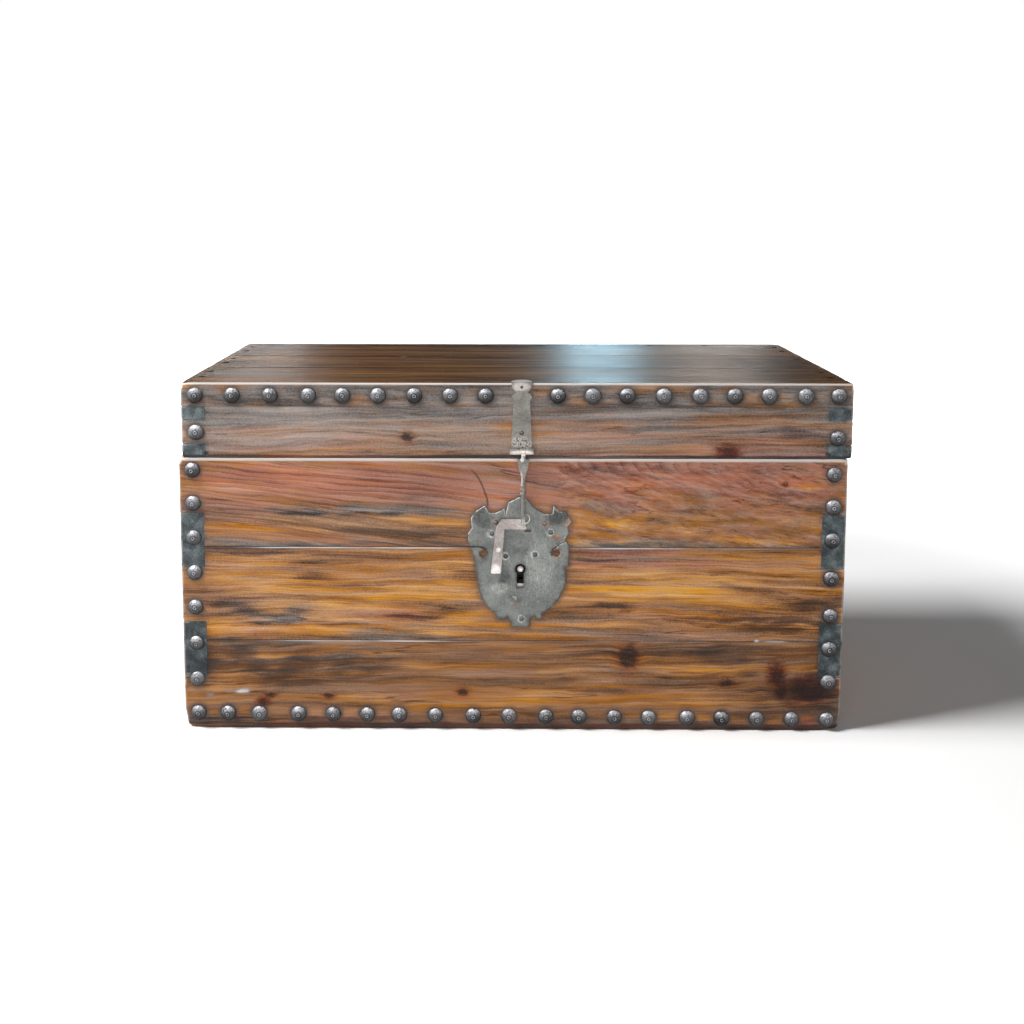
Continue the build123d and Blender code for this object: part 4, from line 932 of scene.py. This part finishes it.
def slit_loop(points, width):
    """The outline of a thin slit along a line of points."""
    points = np.array(points) * MM
    along = np.gradient(points, axis=0)
    across = np.stack([-along[:, 1], along[:, 0]], 1) / np.linalg.norm(along, axis=1, keepdims=True)
    half = across * width * MM / 2
    return np.concatenate([points + half, (points - half)[::-1]])


def resampled(loop, step):
    """A loop's points with more between them, none further apart than step."""
    points = []
    for a, b in zip(loop, np.roll(loop, -1, axis=0)):
        count = max(1, ceil(np.linalg.norm(b - a) / step))
        points += [a + (b - a) * i / count for i in range(count)]
    return np.array(points)


def inside(points, loop):
    """Which points a loop goes round."""
    x, z = points.T
    hit = np.zeros(len(points), bool)
    for (ax, az), (bx, bz) in zip(loop, np.roll(loop, -1, axis=0)):
        crosses = (az > z) != (bz > z)
        with np.errstate(divide="ignore", invalid="ignore"):
            hit ^= crosses & (x < (bx - ax) * (z - az) / (bz - az) + ax)
    return hit


def loop_distance(points, loops):
    """How far each point is from the nearest loop."""
    best = np.full(len(points), np.inf)
    for loop in loops:
        for a, b in zip(loop, np.roll(loop, -1, axis=0)):
            run = b - a
            share = np.clip(((points - a) @ run) / max(run @ run, 1e-18), 0, 1)
            best = np.minimum(best, np.linalg.norm(points - a - share[:, None] * run, axis=1))
    return best


def upright(points, depth=0.0):
    """Points of x and z as points of x, y and z."""
    return np.stack([points[:, 0], np.zeros(len(points)) + depth, points[:, 1]], 1)


def ovals(points, spots):
    """How near points of x and z are to each oval: 1 in it, fading to 0 outside."""
    total = np.zeros(len(points))
    ragged = 0.22 * wobble(upright(points), 0.009, 4)
    for x, z, across, tall, strength in spots:
        reach = np.hypot((points[:, 0] / MM - x) / across, (points[:, 1] / MM - z) / tall) + ragged
        total = np.maximum(total, strength * smooth(-reach, -1.45, -0.6))
    return total


# The lock plate's slits, its brown, pale and dark places, and the nails with a bright ring, in x and z
PLATE_SLITS = (
    ((-61.0, 255.0), (-54.0, 257.2), (-47.0, 257.6), (-40.0, 256.6), (-35.0, 253.5)),
    ((80.5, 268.0), (73.0, 266.5), (66.5, 263.0), (60.5, 258.5), (56.0, 255.0), (53.6, 250.0), (55.0, 246.0)),
)
PLATE_RUST = (
    (-22.5, 292.2, 6.0, 4.2, 0.9), (44.3, 289.7, 5.5, 4.0, 0.9), (59.3, 272.0, 6.0, 5.0, 0.8),
    (74.7, 291.1, 4.5, 5.5, 0.8), (2.8, 178.3, 10.0, 4.5, 0.5), (-1.0, 303.0, 3.0, 6.0, 0.6),
    (-46.0, 266.0, 9.0, 2.5, 0.5), (60.0, 249.6, 7.5, 7.5, 0.6), (-39.4, 248.5, 7.5, 7.5, 0.5),
)
PLATE_PALE = ((-17.6, 200.6, 12.0, 7.0, 0.5), (4.1, 187.0, 2.0, 2.0, 0.9), (38.0, 228.0, 16.0, 34.0, 0.25))
PLATE_DARK = (
    (-40.0, 296.0, 14.0, 16.0, 1.1), (62.0, 300.0, 16.0, 10.0, 1.1), (30.0, 182.0, 30.0, 8.0, 0.5),
    (8.0, 320.0, 9.0, 12.0, 0.6), (-10.0, 215.0, 7.0, 20.0, 0.6), (6.0, 262.0, 16.0, 16.0, 0.4),
)
PLATE_WASHERS = ((12.6, 157.3), (-28.6, 275.6), (-9.3, 244.9), (30.8, 247.4), (51.3, 277.9))
PLATE_THICKNESS, SLIT_WIDTH = 2.0, 1.5
FACE_STEP, LOOP_STEP = 2.2, 1.6  # between the points of the plate's face and of its edges
HOLLOW_DEPTH, DENT_DEPTH, EDGE_DROP = 0.3, 0.12, 0.4


def plate_grid(loops, slits):
    """A flat plate as points of x and z and triangles, with finer rows of points along its edges."""
    outline = max(loops, key=lambda loop: np.ptp(loop[:, 1]))
    holes = [loop for loop in loops if loop is not outline]
    spans = [np.arange(a, b, FACE_STEP * MM) for a, b in zip(outline.min(0), outline.max(0))]
    rows = [np.stack(np.meshgrid(*spans), -1).reshape(-1, 2)]
    for loop in loops:
        along = np.roll(loop, -1, axis=0) - np.roll(loop, 1, axis=0)
        across = np.stack([-along[:, 1], along[:, 0]], 1) / np.linalg.norm(along, axis=1, keepdims=True)
        rows += [loop + side * across * reach * MM for reach in (0.5, 1.2) for side in (-1, 1)]
    extra = np.concatenate(rows)
    extra = extra[loop_distance(extra, loops + slits) > 0.45 * MM]
    points, edges = [], []
    for loop in loops + slits:
        first = len(points)
        points += [Vector(p) for p in loop]
        edges += [(first + i, first + (i + 1) % len(loop)) for i in range(len(loop))]
    points += [Vector(p) for p in extra]
    points, _, faces, *_ = delaunay_2d_cdt(points, edges, [], 0, 1e-8)
    flat = np.array(points)
    middles = np.array([flat[list(f)].mean(0) for f in faces])
    kept = inside(middles, outline)
    for loop in holes + slits:
        kept &= ~inside(middles, loop)
    faces = [tuple(f) for f, keep in zip(faces, kept) if keep]
    in_use = sorted({i for f in faces for i in f})
    renumber = {old: new for new, old in enumerate(in_use)}
    return flat[in_use], [tuple(renumber[i] for i in f) for f in faces]


def thickened(flat, faces, front_y, back_y):
    """A plate's vertices and faces: a front that may dip, a flat back and the walls between them."""
    front_side, back_side = upright(flat, front_y), upright(flat, back_y)
    count, runs = len(flat), {}
    for f in faces:
        for a, b in zip(f, f[1:] + f[:1]):
            runs[frozenset((a, b))] = None if frozenset((a, b)) in runs else (a, b)
    walls_round = [(a, a + count, b + count, b) for a, b in (run for run in runs.values() if run)]
    all_faces = faces + [tuple(i + count for i in f[::-1]) for f in faces] + walls_round
    a, b, c = front_side[list(faces[0])]
    if np.cross(b - a, c - a)[1] > 0:
        all_faces = [f[::-1] for f in all_faces]
    return np.concatenate([front_side, back_side]), all_faces


def plate_wear(flat, distance):
    """How worn, how pale or dark, and how rusty the plate is at each point, with painted shade along its
    lower edges.
    """
    crown = smooth(flat[:, 1], 0.250, 0.268)
    patchy = smooth(wobble(upright(flat), 0.012, 5), -0.6, 0.2)
    worn = (0.1 + 0.9 * crown) * smooth(-distance, -1.5 * MM, -0.2 * MM) * patchy
    worn = np.maximum(worn, 0.7 * ovals(flat, PLATE_PALE))
    to_nails = np.min([np.linalg.norm(flat - (x * MM, z * MM), axis=1) for x, z in PLATE_WASHERS], axis=0)
    worn = np.maximum(worn, np.exp(-((to_nails / MM - 4.2) / 1.0) ** 2))
    tone = 0.8 * ovals(flat, PLATE_PALE) - 0.9 * ovals(flat, PLATE_DARK)
    # Painted shade: the plate darkens along its edges below the crown, as if in shadow
    tone -= 1.6 * (1 - crown) * np.exp(-distance / (1.6 * MM))
    return {"wear": worn, "tone": tone, "rusty": ovals(flat, PLATE_RUST)}


def worn_plate(node, material):
    """The lock plate: the CAD outline with slits cut in, softened edges and a gently dented face."""
    loops, face = flat_loops(node)
    loops = [resampled(loop, LOOP_STEP * MM) for loop in loops]
    slits = [slit_loop(points, SLIT_WIDTH) for points in PLATE_SLITS]
    flat, faces = plate_grid(loops, slits)
    distance = loop_distance(flat, loops + slits)
    hollows, small_dents = (0.5 + 0.5 * wobble(upright(flat), *kind) for kind in ((0.022, 3), (0.007, 8)))
    dents = np.clip(hollows * HOLLOW_DEPTH + small_dents * DENT_DEPTH, 0, 0.5)
    sunk = dents + EDGE_DROP * smooth(-distance, -0.9 * MM, 0)
    vertices, all_faces = thickened(flat, faces, face + sunk * MM, face + PLATE_THICKNESS * MM)
    doubled = {key: np.tile(values, 2) for key, values in plate_wear(flat, distance).items()}
    return dress(make_object(node + "_worn", vertices, all_faces, material, doubled), node)


BEVEL, BEVEL_ANGLE = 0.25, 32  # of the small ironwork's edges, in millimetres and degrees


def carried(node, material):
    """A CAD node that keeps its shape: its material, and edges broken by a small bevel."""
    piece = frame["nodes"][node]
    piece.data.materials.clear()
    piece.data.materials.append(material)
    weld = piece.modifiers.new("weld", "WELD")
    weld.merge_threshold = 0.01 * MM
    broken = piece.modifiers.new("broken_edges", "BEVEL")
    broken.width, broken.segments, broken.limit_method = BEVEL * MM, 2, "ANGLE"
    broken.angle_limit = radians(BEVEL_ANGLE)
    broken.use_clamp_overlap = True


# ---------------------------------------------------------------- the pieces

dome_iron = iron("dome_iron", DOME_IRON, 0.52, 0.4, pits=0.15, rub_and_highlight=srgb(214, 216, 222), bump=0.00015,
                 specular=0.3)
top_iron = iron("top_iron", TOP_IRON, 0.6, 0.0, pits=0.2, rub_and_highlight=srgb(84, 72, 60), bump=0.0002, specular=0.002)
wood_iron = iron("wood_iron", WOOD_IRON, 0.6, 0.1, pits=0.3, rub_and_highlight=srgb(120, 104, 92), bump=0.0003)
small_iron = iron("small_iron", STRAP_IRON, 0.45, 0.5)

# The small nails' half sections, radius and height in millimetres
PLAIN_SECTION = (
    (0, 1.2), (2.2, 1.08), (3.6, 0.8), (4.4, 0.5), (4.5, 0.2), (4.3, -0.1), (1.8, -0.1), (1.8, -44.6),
    (0, -50),
)
FLUSH_SECTION = (
    (0, 0.3), (2.4, 0.28), (3.8, 0.2), (4.3, 0.1), (4.5, 0.0), (4.3, -0.2), (1.8, -0.2), (1.8, -44.6),
    (0, -50),
)
TACK_SECTION = (
    (0, 1.7), (1.1, 1.6), (2.1, 1.2), (2.8, 0.75), (3.1, 0.4), (3.0, 0.0), (1.2, 0.0), (1.2, -16.4),
    (0, -20),
)
SMALL_FINISH = {"segments": 20, "blows": 5, "lean": 0.0}
NAIL_KINDS = {  # section, the CAD head's height and radius, how far its stain goes, material and finish
    "dome": (dome_profile(10.9, 7.0, 0.7, 2.0, 45.0), 7.35, 10.9, 11, dome_iron, {}),
    "plain": (PLAIN_SECTION, 1.2, 4.5, 5, wood_iron, {"blow": 0.15, **SMALL_FINISH}),
    "flush": (FLUSH_SECTION, 1.2, 4.5, 5, top_iron, {"blow": 0.05, **SMALL_FINISH}),
    "tack": (TACK_SECTION, 1.7, 3.1, 0, small_iron, {"blow": 0.2, **SMALL_FINISH}),
}
FACE_UP, FACE_DOWN, TO_LEFT, TO_RIGHT = (0, 0, 1), (0, 0, -1), (-1, 0, 0), (1, 0, 0)
TO_FRONT, TO_BACK = (0, -1, 0), (0, 1, 0)
DOME_ROWS = ("foot", "left", "right", "lid_row", "lid_corners")
NAIL_SETS = (  # node, kind and the ways its heads face
    *((f"dome_nails_{row}", "dome", [TO_FRONT]) for row in DOME_ROWS),
    ("plain_nails_back", "plain", [TO_BACK]), ("plain_nails_sides", "plain", [TO_LEFT, TO_RIGHT]),
    ("plain_nails_lid_back", "plain", [TO_BACK]), ("plain_nails_lid_top", "flush", [FACE_UP]),
    ("batten_nails", "plain", [FACE_DOWN]), ("lock_plate_nails", "tack", [TO_FRONT]),
    ("lock_case_nails", "tack", [TO_BACK]), ("hasp_strap_nail", "tack", [TO_FRONT]),
    ("hinge_nails_body", "tack", [TO_BACK]), ("hinge_nails_lid", "tack", [TO_BACK]),
)


def nails():
    """All nails, and the places of the stains that they leave in the wood."""
    for node, kind, ways in NAIL_SETS:
        section, height, radius, stain, material, finish = NAIL_KINDS[kind]
        faced = [(way, heads(node, way, height, radius)) for way in ways]
        forged_nails(node, faced, section, material, **finish)
        if stain:
            nail_places.extend((place, stain * MM) for _, places in faced for place in places)


X_GRAIN, Y_GRAIN, TOP_GRAIN, BATTEN_GRAIN = (0, 2, 1), (1, 2, 0), (0, 1, 2), (1, 0, 2)
FRONT_TONES = {
    "lower": {"gold": 0.25, "dark": 0.25, "grey": 0.05, "rust": 0.02},
    "middle": {"gold": 0.2, "rust": 0.1, "dark": 0.05, "grey": 0.03},
    "upper": {"gold": 0.02, "rust": 0.2, "grey": 0.1},
}
FRONT_PITHS = {
    "lower": (60, 70, 0.012, 0, 0), "middle": (-80, 65, -0.01, 0, 0), "upper": (81, 74, -0.1, -0.25, 0.06),
}
BACK_TONES = {"dark": 0.1, "rust": 0.1, "grey": 0.25}
SIDE_TONES = {"gold": 0.1, "dark": 0.05, "rust": 0.2, "grey": 0.1}
TOP_TONES = {"grey": 0.1, "dark": 0.3, "gold": 0.15}
KEYWAY_LEFT, KEYWAY_RIGHT, KEYWAY_ABOVE = 1.5, 13.5, 4.0  # the keyway, beyond its ward and the key's pin


def walls():
    """The body's boards."""
    key_low, key_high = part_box("keyway_ward")[0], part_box("key_pin")[1]
    keyway_low = Vector((key_low.x - KEYWAY_LEFT * MM, -1, key_low.z))
    keyway = (keyway_low, Vector((key_low.x + KEYWAY_RIGHT * MM, 0, key_high.z + KEYWAY_ABOVE * MM)))
    front_woods = {
        "lower": wood("lower_wood", KNOTS, RED_KNOTS, contrast=0.66, deep=0.03),
        "middle": wood("middle_wood", contrast=1.3),
        "upper": wood("upper_wood", KNOTS, contrast=1.1, deep=0.02),
    }
    plain_wood = wood("plain_wood")
    for name, front_wood in front_woods.items():
        node = "front_board_" + name
        plank(node, jointed(node, FRONT_FINGERS, 0), BODY_SHELL, X_GRAIN, front_wood,
              FRONT_TONES[name], 5.0, cuts=[keyway], pith=FRONT_PITHS[name])
        node = "back_board_" + name
        plank(node, jointed(node, FRONT_FINGERS, 0), BODY_SHELL, X_GRAIN, plain_wood,
              BACK_TONES, 9.0)
    for node in (f"side_{side}_{name}" for side in ("left", "right") for name in ("lower", "upper")):
        plank(node, jointed(node, SIDE_FINGERS, 1), BODY_SHELL, Y_GRAIN, plain_wood,
              SIDE_TONES, 7.0)
    bottom_wood = wood("bottom_wood", roughness=0.65)
    for index in (1, 2, 3):
        node = f"bottom_board_{index}"
        plank(node, [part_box(node)], BODY_SHELL, X_GRAIN, bottom_wood, {"grey": 0.3}, 12.0)


def lid():
    """The lid's boards, rails and battens. Gives back its top boards, as a collection."""
    rail_wood = wood("rail_wood", KNOTS, RED_KNOTS, contrast=1.25)
    top_wood = wood("top_wood", roughness=0.40, specular=0.0002)
    tops = bpy.data.collections.new("lid_top")
    for name in ("front", "middle", "back"):
        node = "lid_board_" + name
        tops.objects.link(plank(node, [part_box(node)], LID_SHELL, TOP_GRAIN, top_wood,
                                TOP_TONES, 6.0))
    for name, spacing in (("front", 5.0), ("back", 9.0)):
        node = "lid_rail_" + name
        plank(node, jointed(node, LID_FRONT_FINGERS, 0), LID_SHELL, X_GRAIN, rail_wood,
              {"grey": 0.52, "rust": 0.15}, spacing)
    for name in ("left", "right"):
        node = "lid_rail_" + name
        plank(node, jointed(node, LID_SIDE_FINGERS, 1), LID_SHELL, Y_GRAIN, rail_wood,
              {"grey": 0.5, "rust": 0.1}, 7.0)
        node = "lid_batten_" + name
        plank(node, [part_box(node)], LID_SHELL, BATTEN_GRAIN, rail_wood,
              {"grey": 0.3, "dark": 0.1}, 9.0)
    return tops


STRAP_BRIGHT = (  # bright places, partly worn iron and partly painted highlights (the rod's lit side, the barrel, the eye, the loop): x, z, half width and half height, strength
    (12.9, 387.4, 18.0, 4.2, 1.0), (13.0, 379.5, 3.0, 4.0, 0.8), (10.6, 315.0, 1.3, 30.0, 0.9),
    (12.0, 352.0, 2.0, 10.0, 0.5), (11.3, 477.0, 12.0, 6.0, 0.4), (22.7, 295.1, 9.0, 9.0, 0.9),
    (11.5, 414.5, 2.2, 2.2, 0.8),
)
STRAP_PITTED = ((11.5, 400.0, 15.0, 10.0, 1.0),)
# The bar's bright places: its worn foot and rivet, and painted highlights on the sill and the key's pin; the
# same columns
BAR_BRIGHT = (
    (-22.0, 224.0, 8.0, 11.0, 1.0), (-18.4, 254.8, 3.5, 3.5, 0.8), (10.9, 202.8, 6.0, 2.6, 1.0),
    (11.5, 225.5, 2.6, 2.6, 0.8),
)
PLATE_SCORED = ((38, 228, 26, 44, 0.35), (0, 190, 50, 22, 0.2))


def hardware():
    """Hasp, lock and hinges."""
    plate_iron = iron("plate_iron", PLATE_IRON, 0.5, 0.35, pits=0.3, rub_and_highlight=srgb(200, 202, 196),
                      scored=PLATE_SCORED)
    strap_iron = iron("strap_iron", STRAP_IRON, 0.48, 0.45, pits=0.6, rub_and_highlight=srgb(228, 222, 214),
                      bright=STRAP_BRIGHT, pitted=STRAP_PITTED)
    bar_steel = iron("bar_steel", BAR_STEEL, 0.4, 0.4, pits=0.3, rub_and_highlight=srgb(234, 232, 228), bright=BAR_BRIGHT)
    worn_plate("lock_plate", plate_iron)
    for node in ("hasp_strap", "hasp_pin", "hasp_arm", "lock_case", "lock_bolt", "lock_spring"):
        carried(node, strap_iron)
    for side in ("left", "right"):
        for part in ("body_leaf", "lid_leaf", "pin"):
            carried(f"hinge_{side}_{part}", strap_iron)
    for node in ("latch_bar", "latch_bar_stud", "latch_bar_rivet", "key_pin", "keyway_ward"):
        carried(node, bar_steel)


# ---------------------------------------------------------------- studio


CAMERA_PLACE = (-0.0152, -1.9640, 0.7233)
CAMERA_TILT, CAMERA_TURN = 83.29, 0.72  # degrees
LENS, SENSOR = 45.84, 36  # millimetres
LENS_SHIFT = (0.02646, -0.1544)


def camera():
    """A camera where the photo's was, with its lens."""
    lens = bpy.data.cameras.new("camera")
    lens.lens, lens.sensor_width = LENS, SENSOR
    lens.shift_x, lens.shift_y = LENS_SHIFT
    made = bpy.data.objects.new("camera", lens)
    made.location = CAMERA_PLACE
    made.rotation_euler = (radians(CAMERA_TILT), 0, radians(CAMERA_TURN))
    bpy.context.scene.collection.objects.link(made)
    bpy.context.scene.camera = made


def area(name, place, target, size, power, colour=(1, 1, 1)):
    """A rectangular lamp that faces its target."""
    lamp = bpy.data.lights.new(name, "AREA")
    lamp.shape, lamp.size, lamp.size_y = "RECTANGLE", size[0], size[1]
    lamp.energy, lamp.color = power, colour
    made = bpy.data.objects.new(name, lamp)
    made.location = place
    made.rotation_euler = (Vector(target) - Vector(place)).to_track_quat("-Z", "Y").to_euler()
    bpy.context.scene.collection.objects.link(made)
    return made


def light_path(tree):
    """1 for rays that show the background: the camera's, and those that gloss and glass send on."""
    path = tree.nodes.new("ShaderNodeLightPath")
    total = path.outputs["Is Camera Ray"]
    for name in ("Is Glossy Ray", "Is Transmission Ray"):
        either = tree.nodes.new("ShaderNodeMath")
        either.operation = "MAXIMUM"
        tree.links.new(total, either.inputs[0])
        tree.links.new(path.outputs[name], either.inputs[1])
        total = either.outputs[0]
    return total


AMBIENT, AMBIENT_COLOUR = 0.08, (0.95, 0.98, 1.0, 1)
MIDDLE = Vector((0, 0, 0.2))  # of the chest, where the large lamps point
KEY_TOWARDS, KEY_DISTANCE = Vector((-0.571, -0.229, 0.788)), 2.6
FLOOR_KEY = (-4.2, -0.95, 4.4)  # a further lamp for the floor alone, which lights it evenly
FILLS = (  # name, place, target, size, power and colour: low lamps, so that the floor keeps its shadow
    ("front_fill", (-0.4, -3.2, 0.6), (0, 0, 0.25), (2.4, 0.9), 20, (1.0, 0.98, 0.97)),
    ("right_fill", (3.2, 0.3, 0.4), (0, 0, 0.25), (2.0, 0.7), 7, (0.96, 0.98, 1.0)),
    ("back_fill", (0.3, 3.4, 0.4), (0, 0, 0.2), (2.4, 0.7), 28, (1.0, 0.98, 0.96)),
)
WINDOW_PLACE, WINDOW_TALL = (3.2, 0.95), 1.3  # y and z of the windows, and their height
BACK_WINDOWS = (  # name, x, width, power and colour of the lamps that the lid's top mirrors
    ("middle_window", 0.38, 0.26, 150, (0.5, 0.82, 1.0)), ("left_window", -1.02, 0.42, 70, (0.95, 0.98, 1.0)),
    ("right_window", 0.85, 0.36, 60, (1.0, 0.98, 0.95)),
)
FLOOR_WHITES = (srgb(238, 238, 238), srgb(242, 242, 242))
FLOOR_HALF = 30  # metres
GLOW, GLOW_FROM, GLOW_TO = 0.03, 0.9, 2.0  # the floor's own light, and where it grows to the backdrop's


def backdrop():
    """A world that is white to the camera and a dim, even light to everything else."""
    world = bpy.data.worlds.new("world")
    bpy.context.scene.world = world
    world.use_nodes = True
    tree = world.node_tree
    tree.nodes.clear()
    mix, out = tree.nodes.new("ShaderNodeMixShader"), tree.nodes.new("ShaderNodeOutputWorld")
    tree.links.new(light_path(tree), mix.inputs[0])
    for socket, colour, strength in ((1, AMBIENT_COLOUR, AMBIENT), (2, (1, 1, 1, 1), 1.0)):
        light = tree.nodes.new("ShaderNodeBackground")
        light.inputs[0].default_value, light.inputs[1].default_value = colour, strength
        tree.links.new(light.outputs[0], mix.inputs[socket])
    tree.links.new(mix.outputs[0], out.inputs[0])


def lamps(tops):
    """A soft key, low fills, and windows far behind that only the lid's top mirrors."""
    key = area("key", MIDDLE + KEY_TOWARDS * KEY_DISTANCE, MIDDLE, (0.95, 0.95), 84)
    floor_key = area("floor_key", FLOOR_KEY, MIDDLE, (2.4, 2.4), 620)
    for fill in FILLS:
        area(*fill)
    for name, x, width, power, colour in BACK_WINDOWS:
        place, target = (x, *WINDOW_PLACE), (x * 0.35, 0, lid_high.z)
        window = area(name, place, target, (width, WINDOW_TALL), power, colour)
        window.visible_camera = window.visible_diffuse = False
        window.light_linking.receiver_collection = tops
    return key, floor_key


def studio(tops):
    """A white floor that runs into the backdrop, with a key of its own: the other one leaves it out."""
    backdrop()
    key, floor_key = lamps(tops)
    s = Shader("floor", roughness=0.9, specular=0.0)
    s.put(s.surface.inputs["Base Color"], s.mix(s.noise(s.place(), (3, 3, 3), 2), *FLOOR_WHITES))
    s.put(s.surface.inputs["Emission Color"], (1, 1, 1, 1))
    far = s.step(s.length(s.place()), GLOW_FROM, GLOW_TO)
    s.put(s.surface.inputs["Emission Strength"], s.times(light_path(s.tree), s.add(GLOW, far)))
    corners = [(FLOOR_HALF * x, FLOOR_HALF * y, 0) for x, y in ((-1, -1), (1, -1), (1, 1), (-1, 1))]
    floor = make_object("floor", corners, [(0, 1, 2, 3)], s.material)
    ground, raised = bpy.data.collections.new("ground"), bpy.data.collections.new("raised")
    ground.objects.link(floor)
    raised.objects.link(floor)
    raised.collection_objects[0].light_linking.link_state = "EXCLUDE"
    key.light_linking.receiver_collection = raised
    floor_key.light_linking.receiver_collection = ground


nails()
walls()
lid_tops = lid()
hardware()
studio(lid_tops)
camera()
bpy.context.scene.view_settings.view_transform = "Standard"
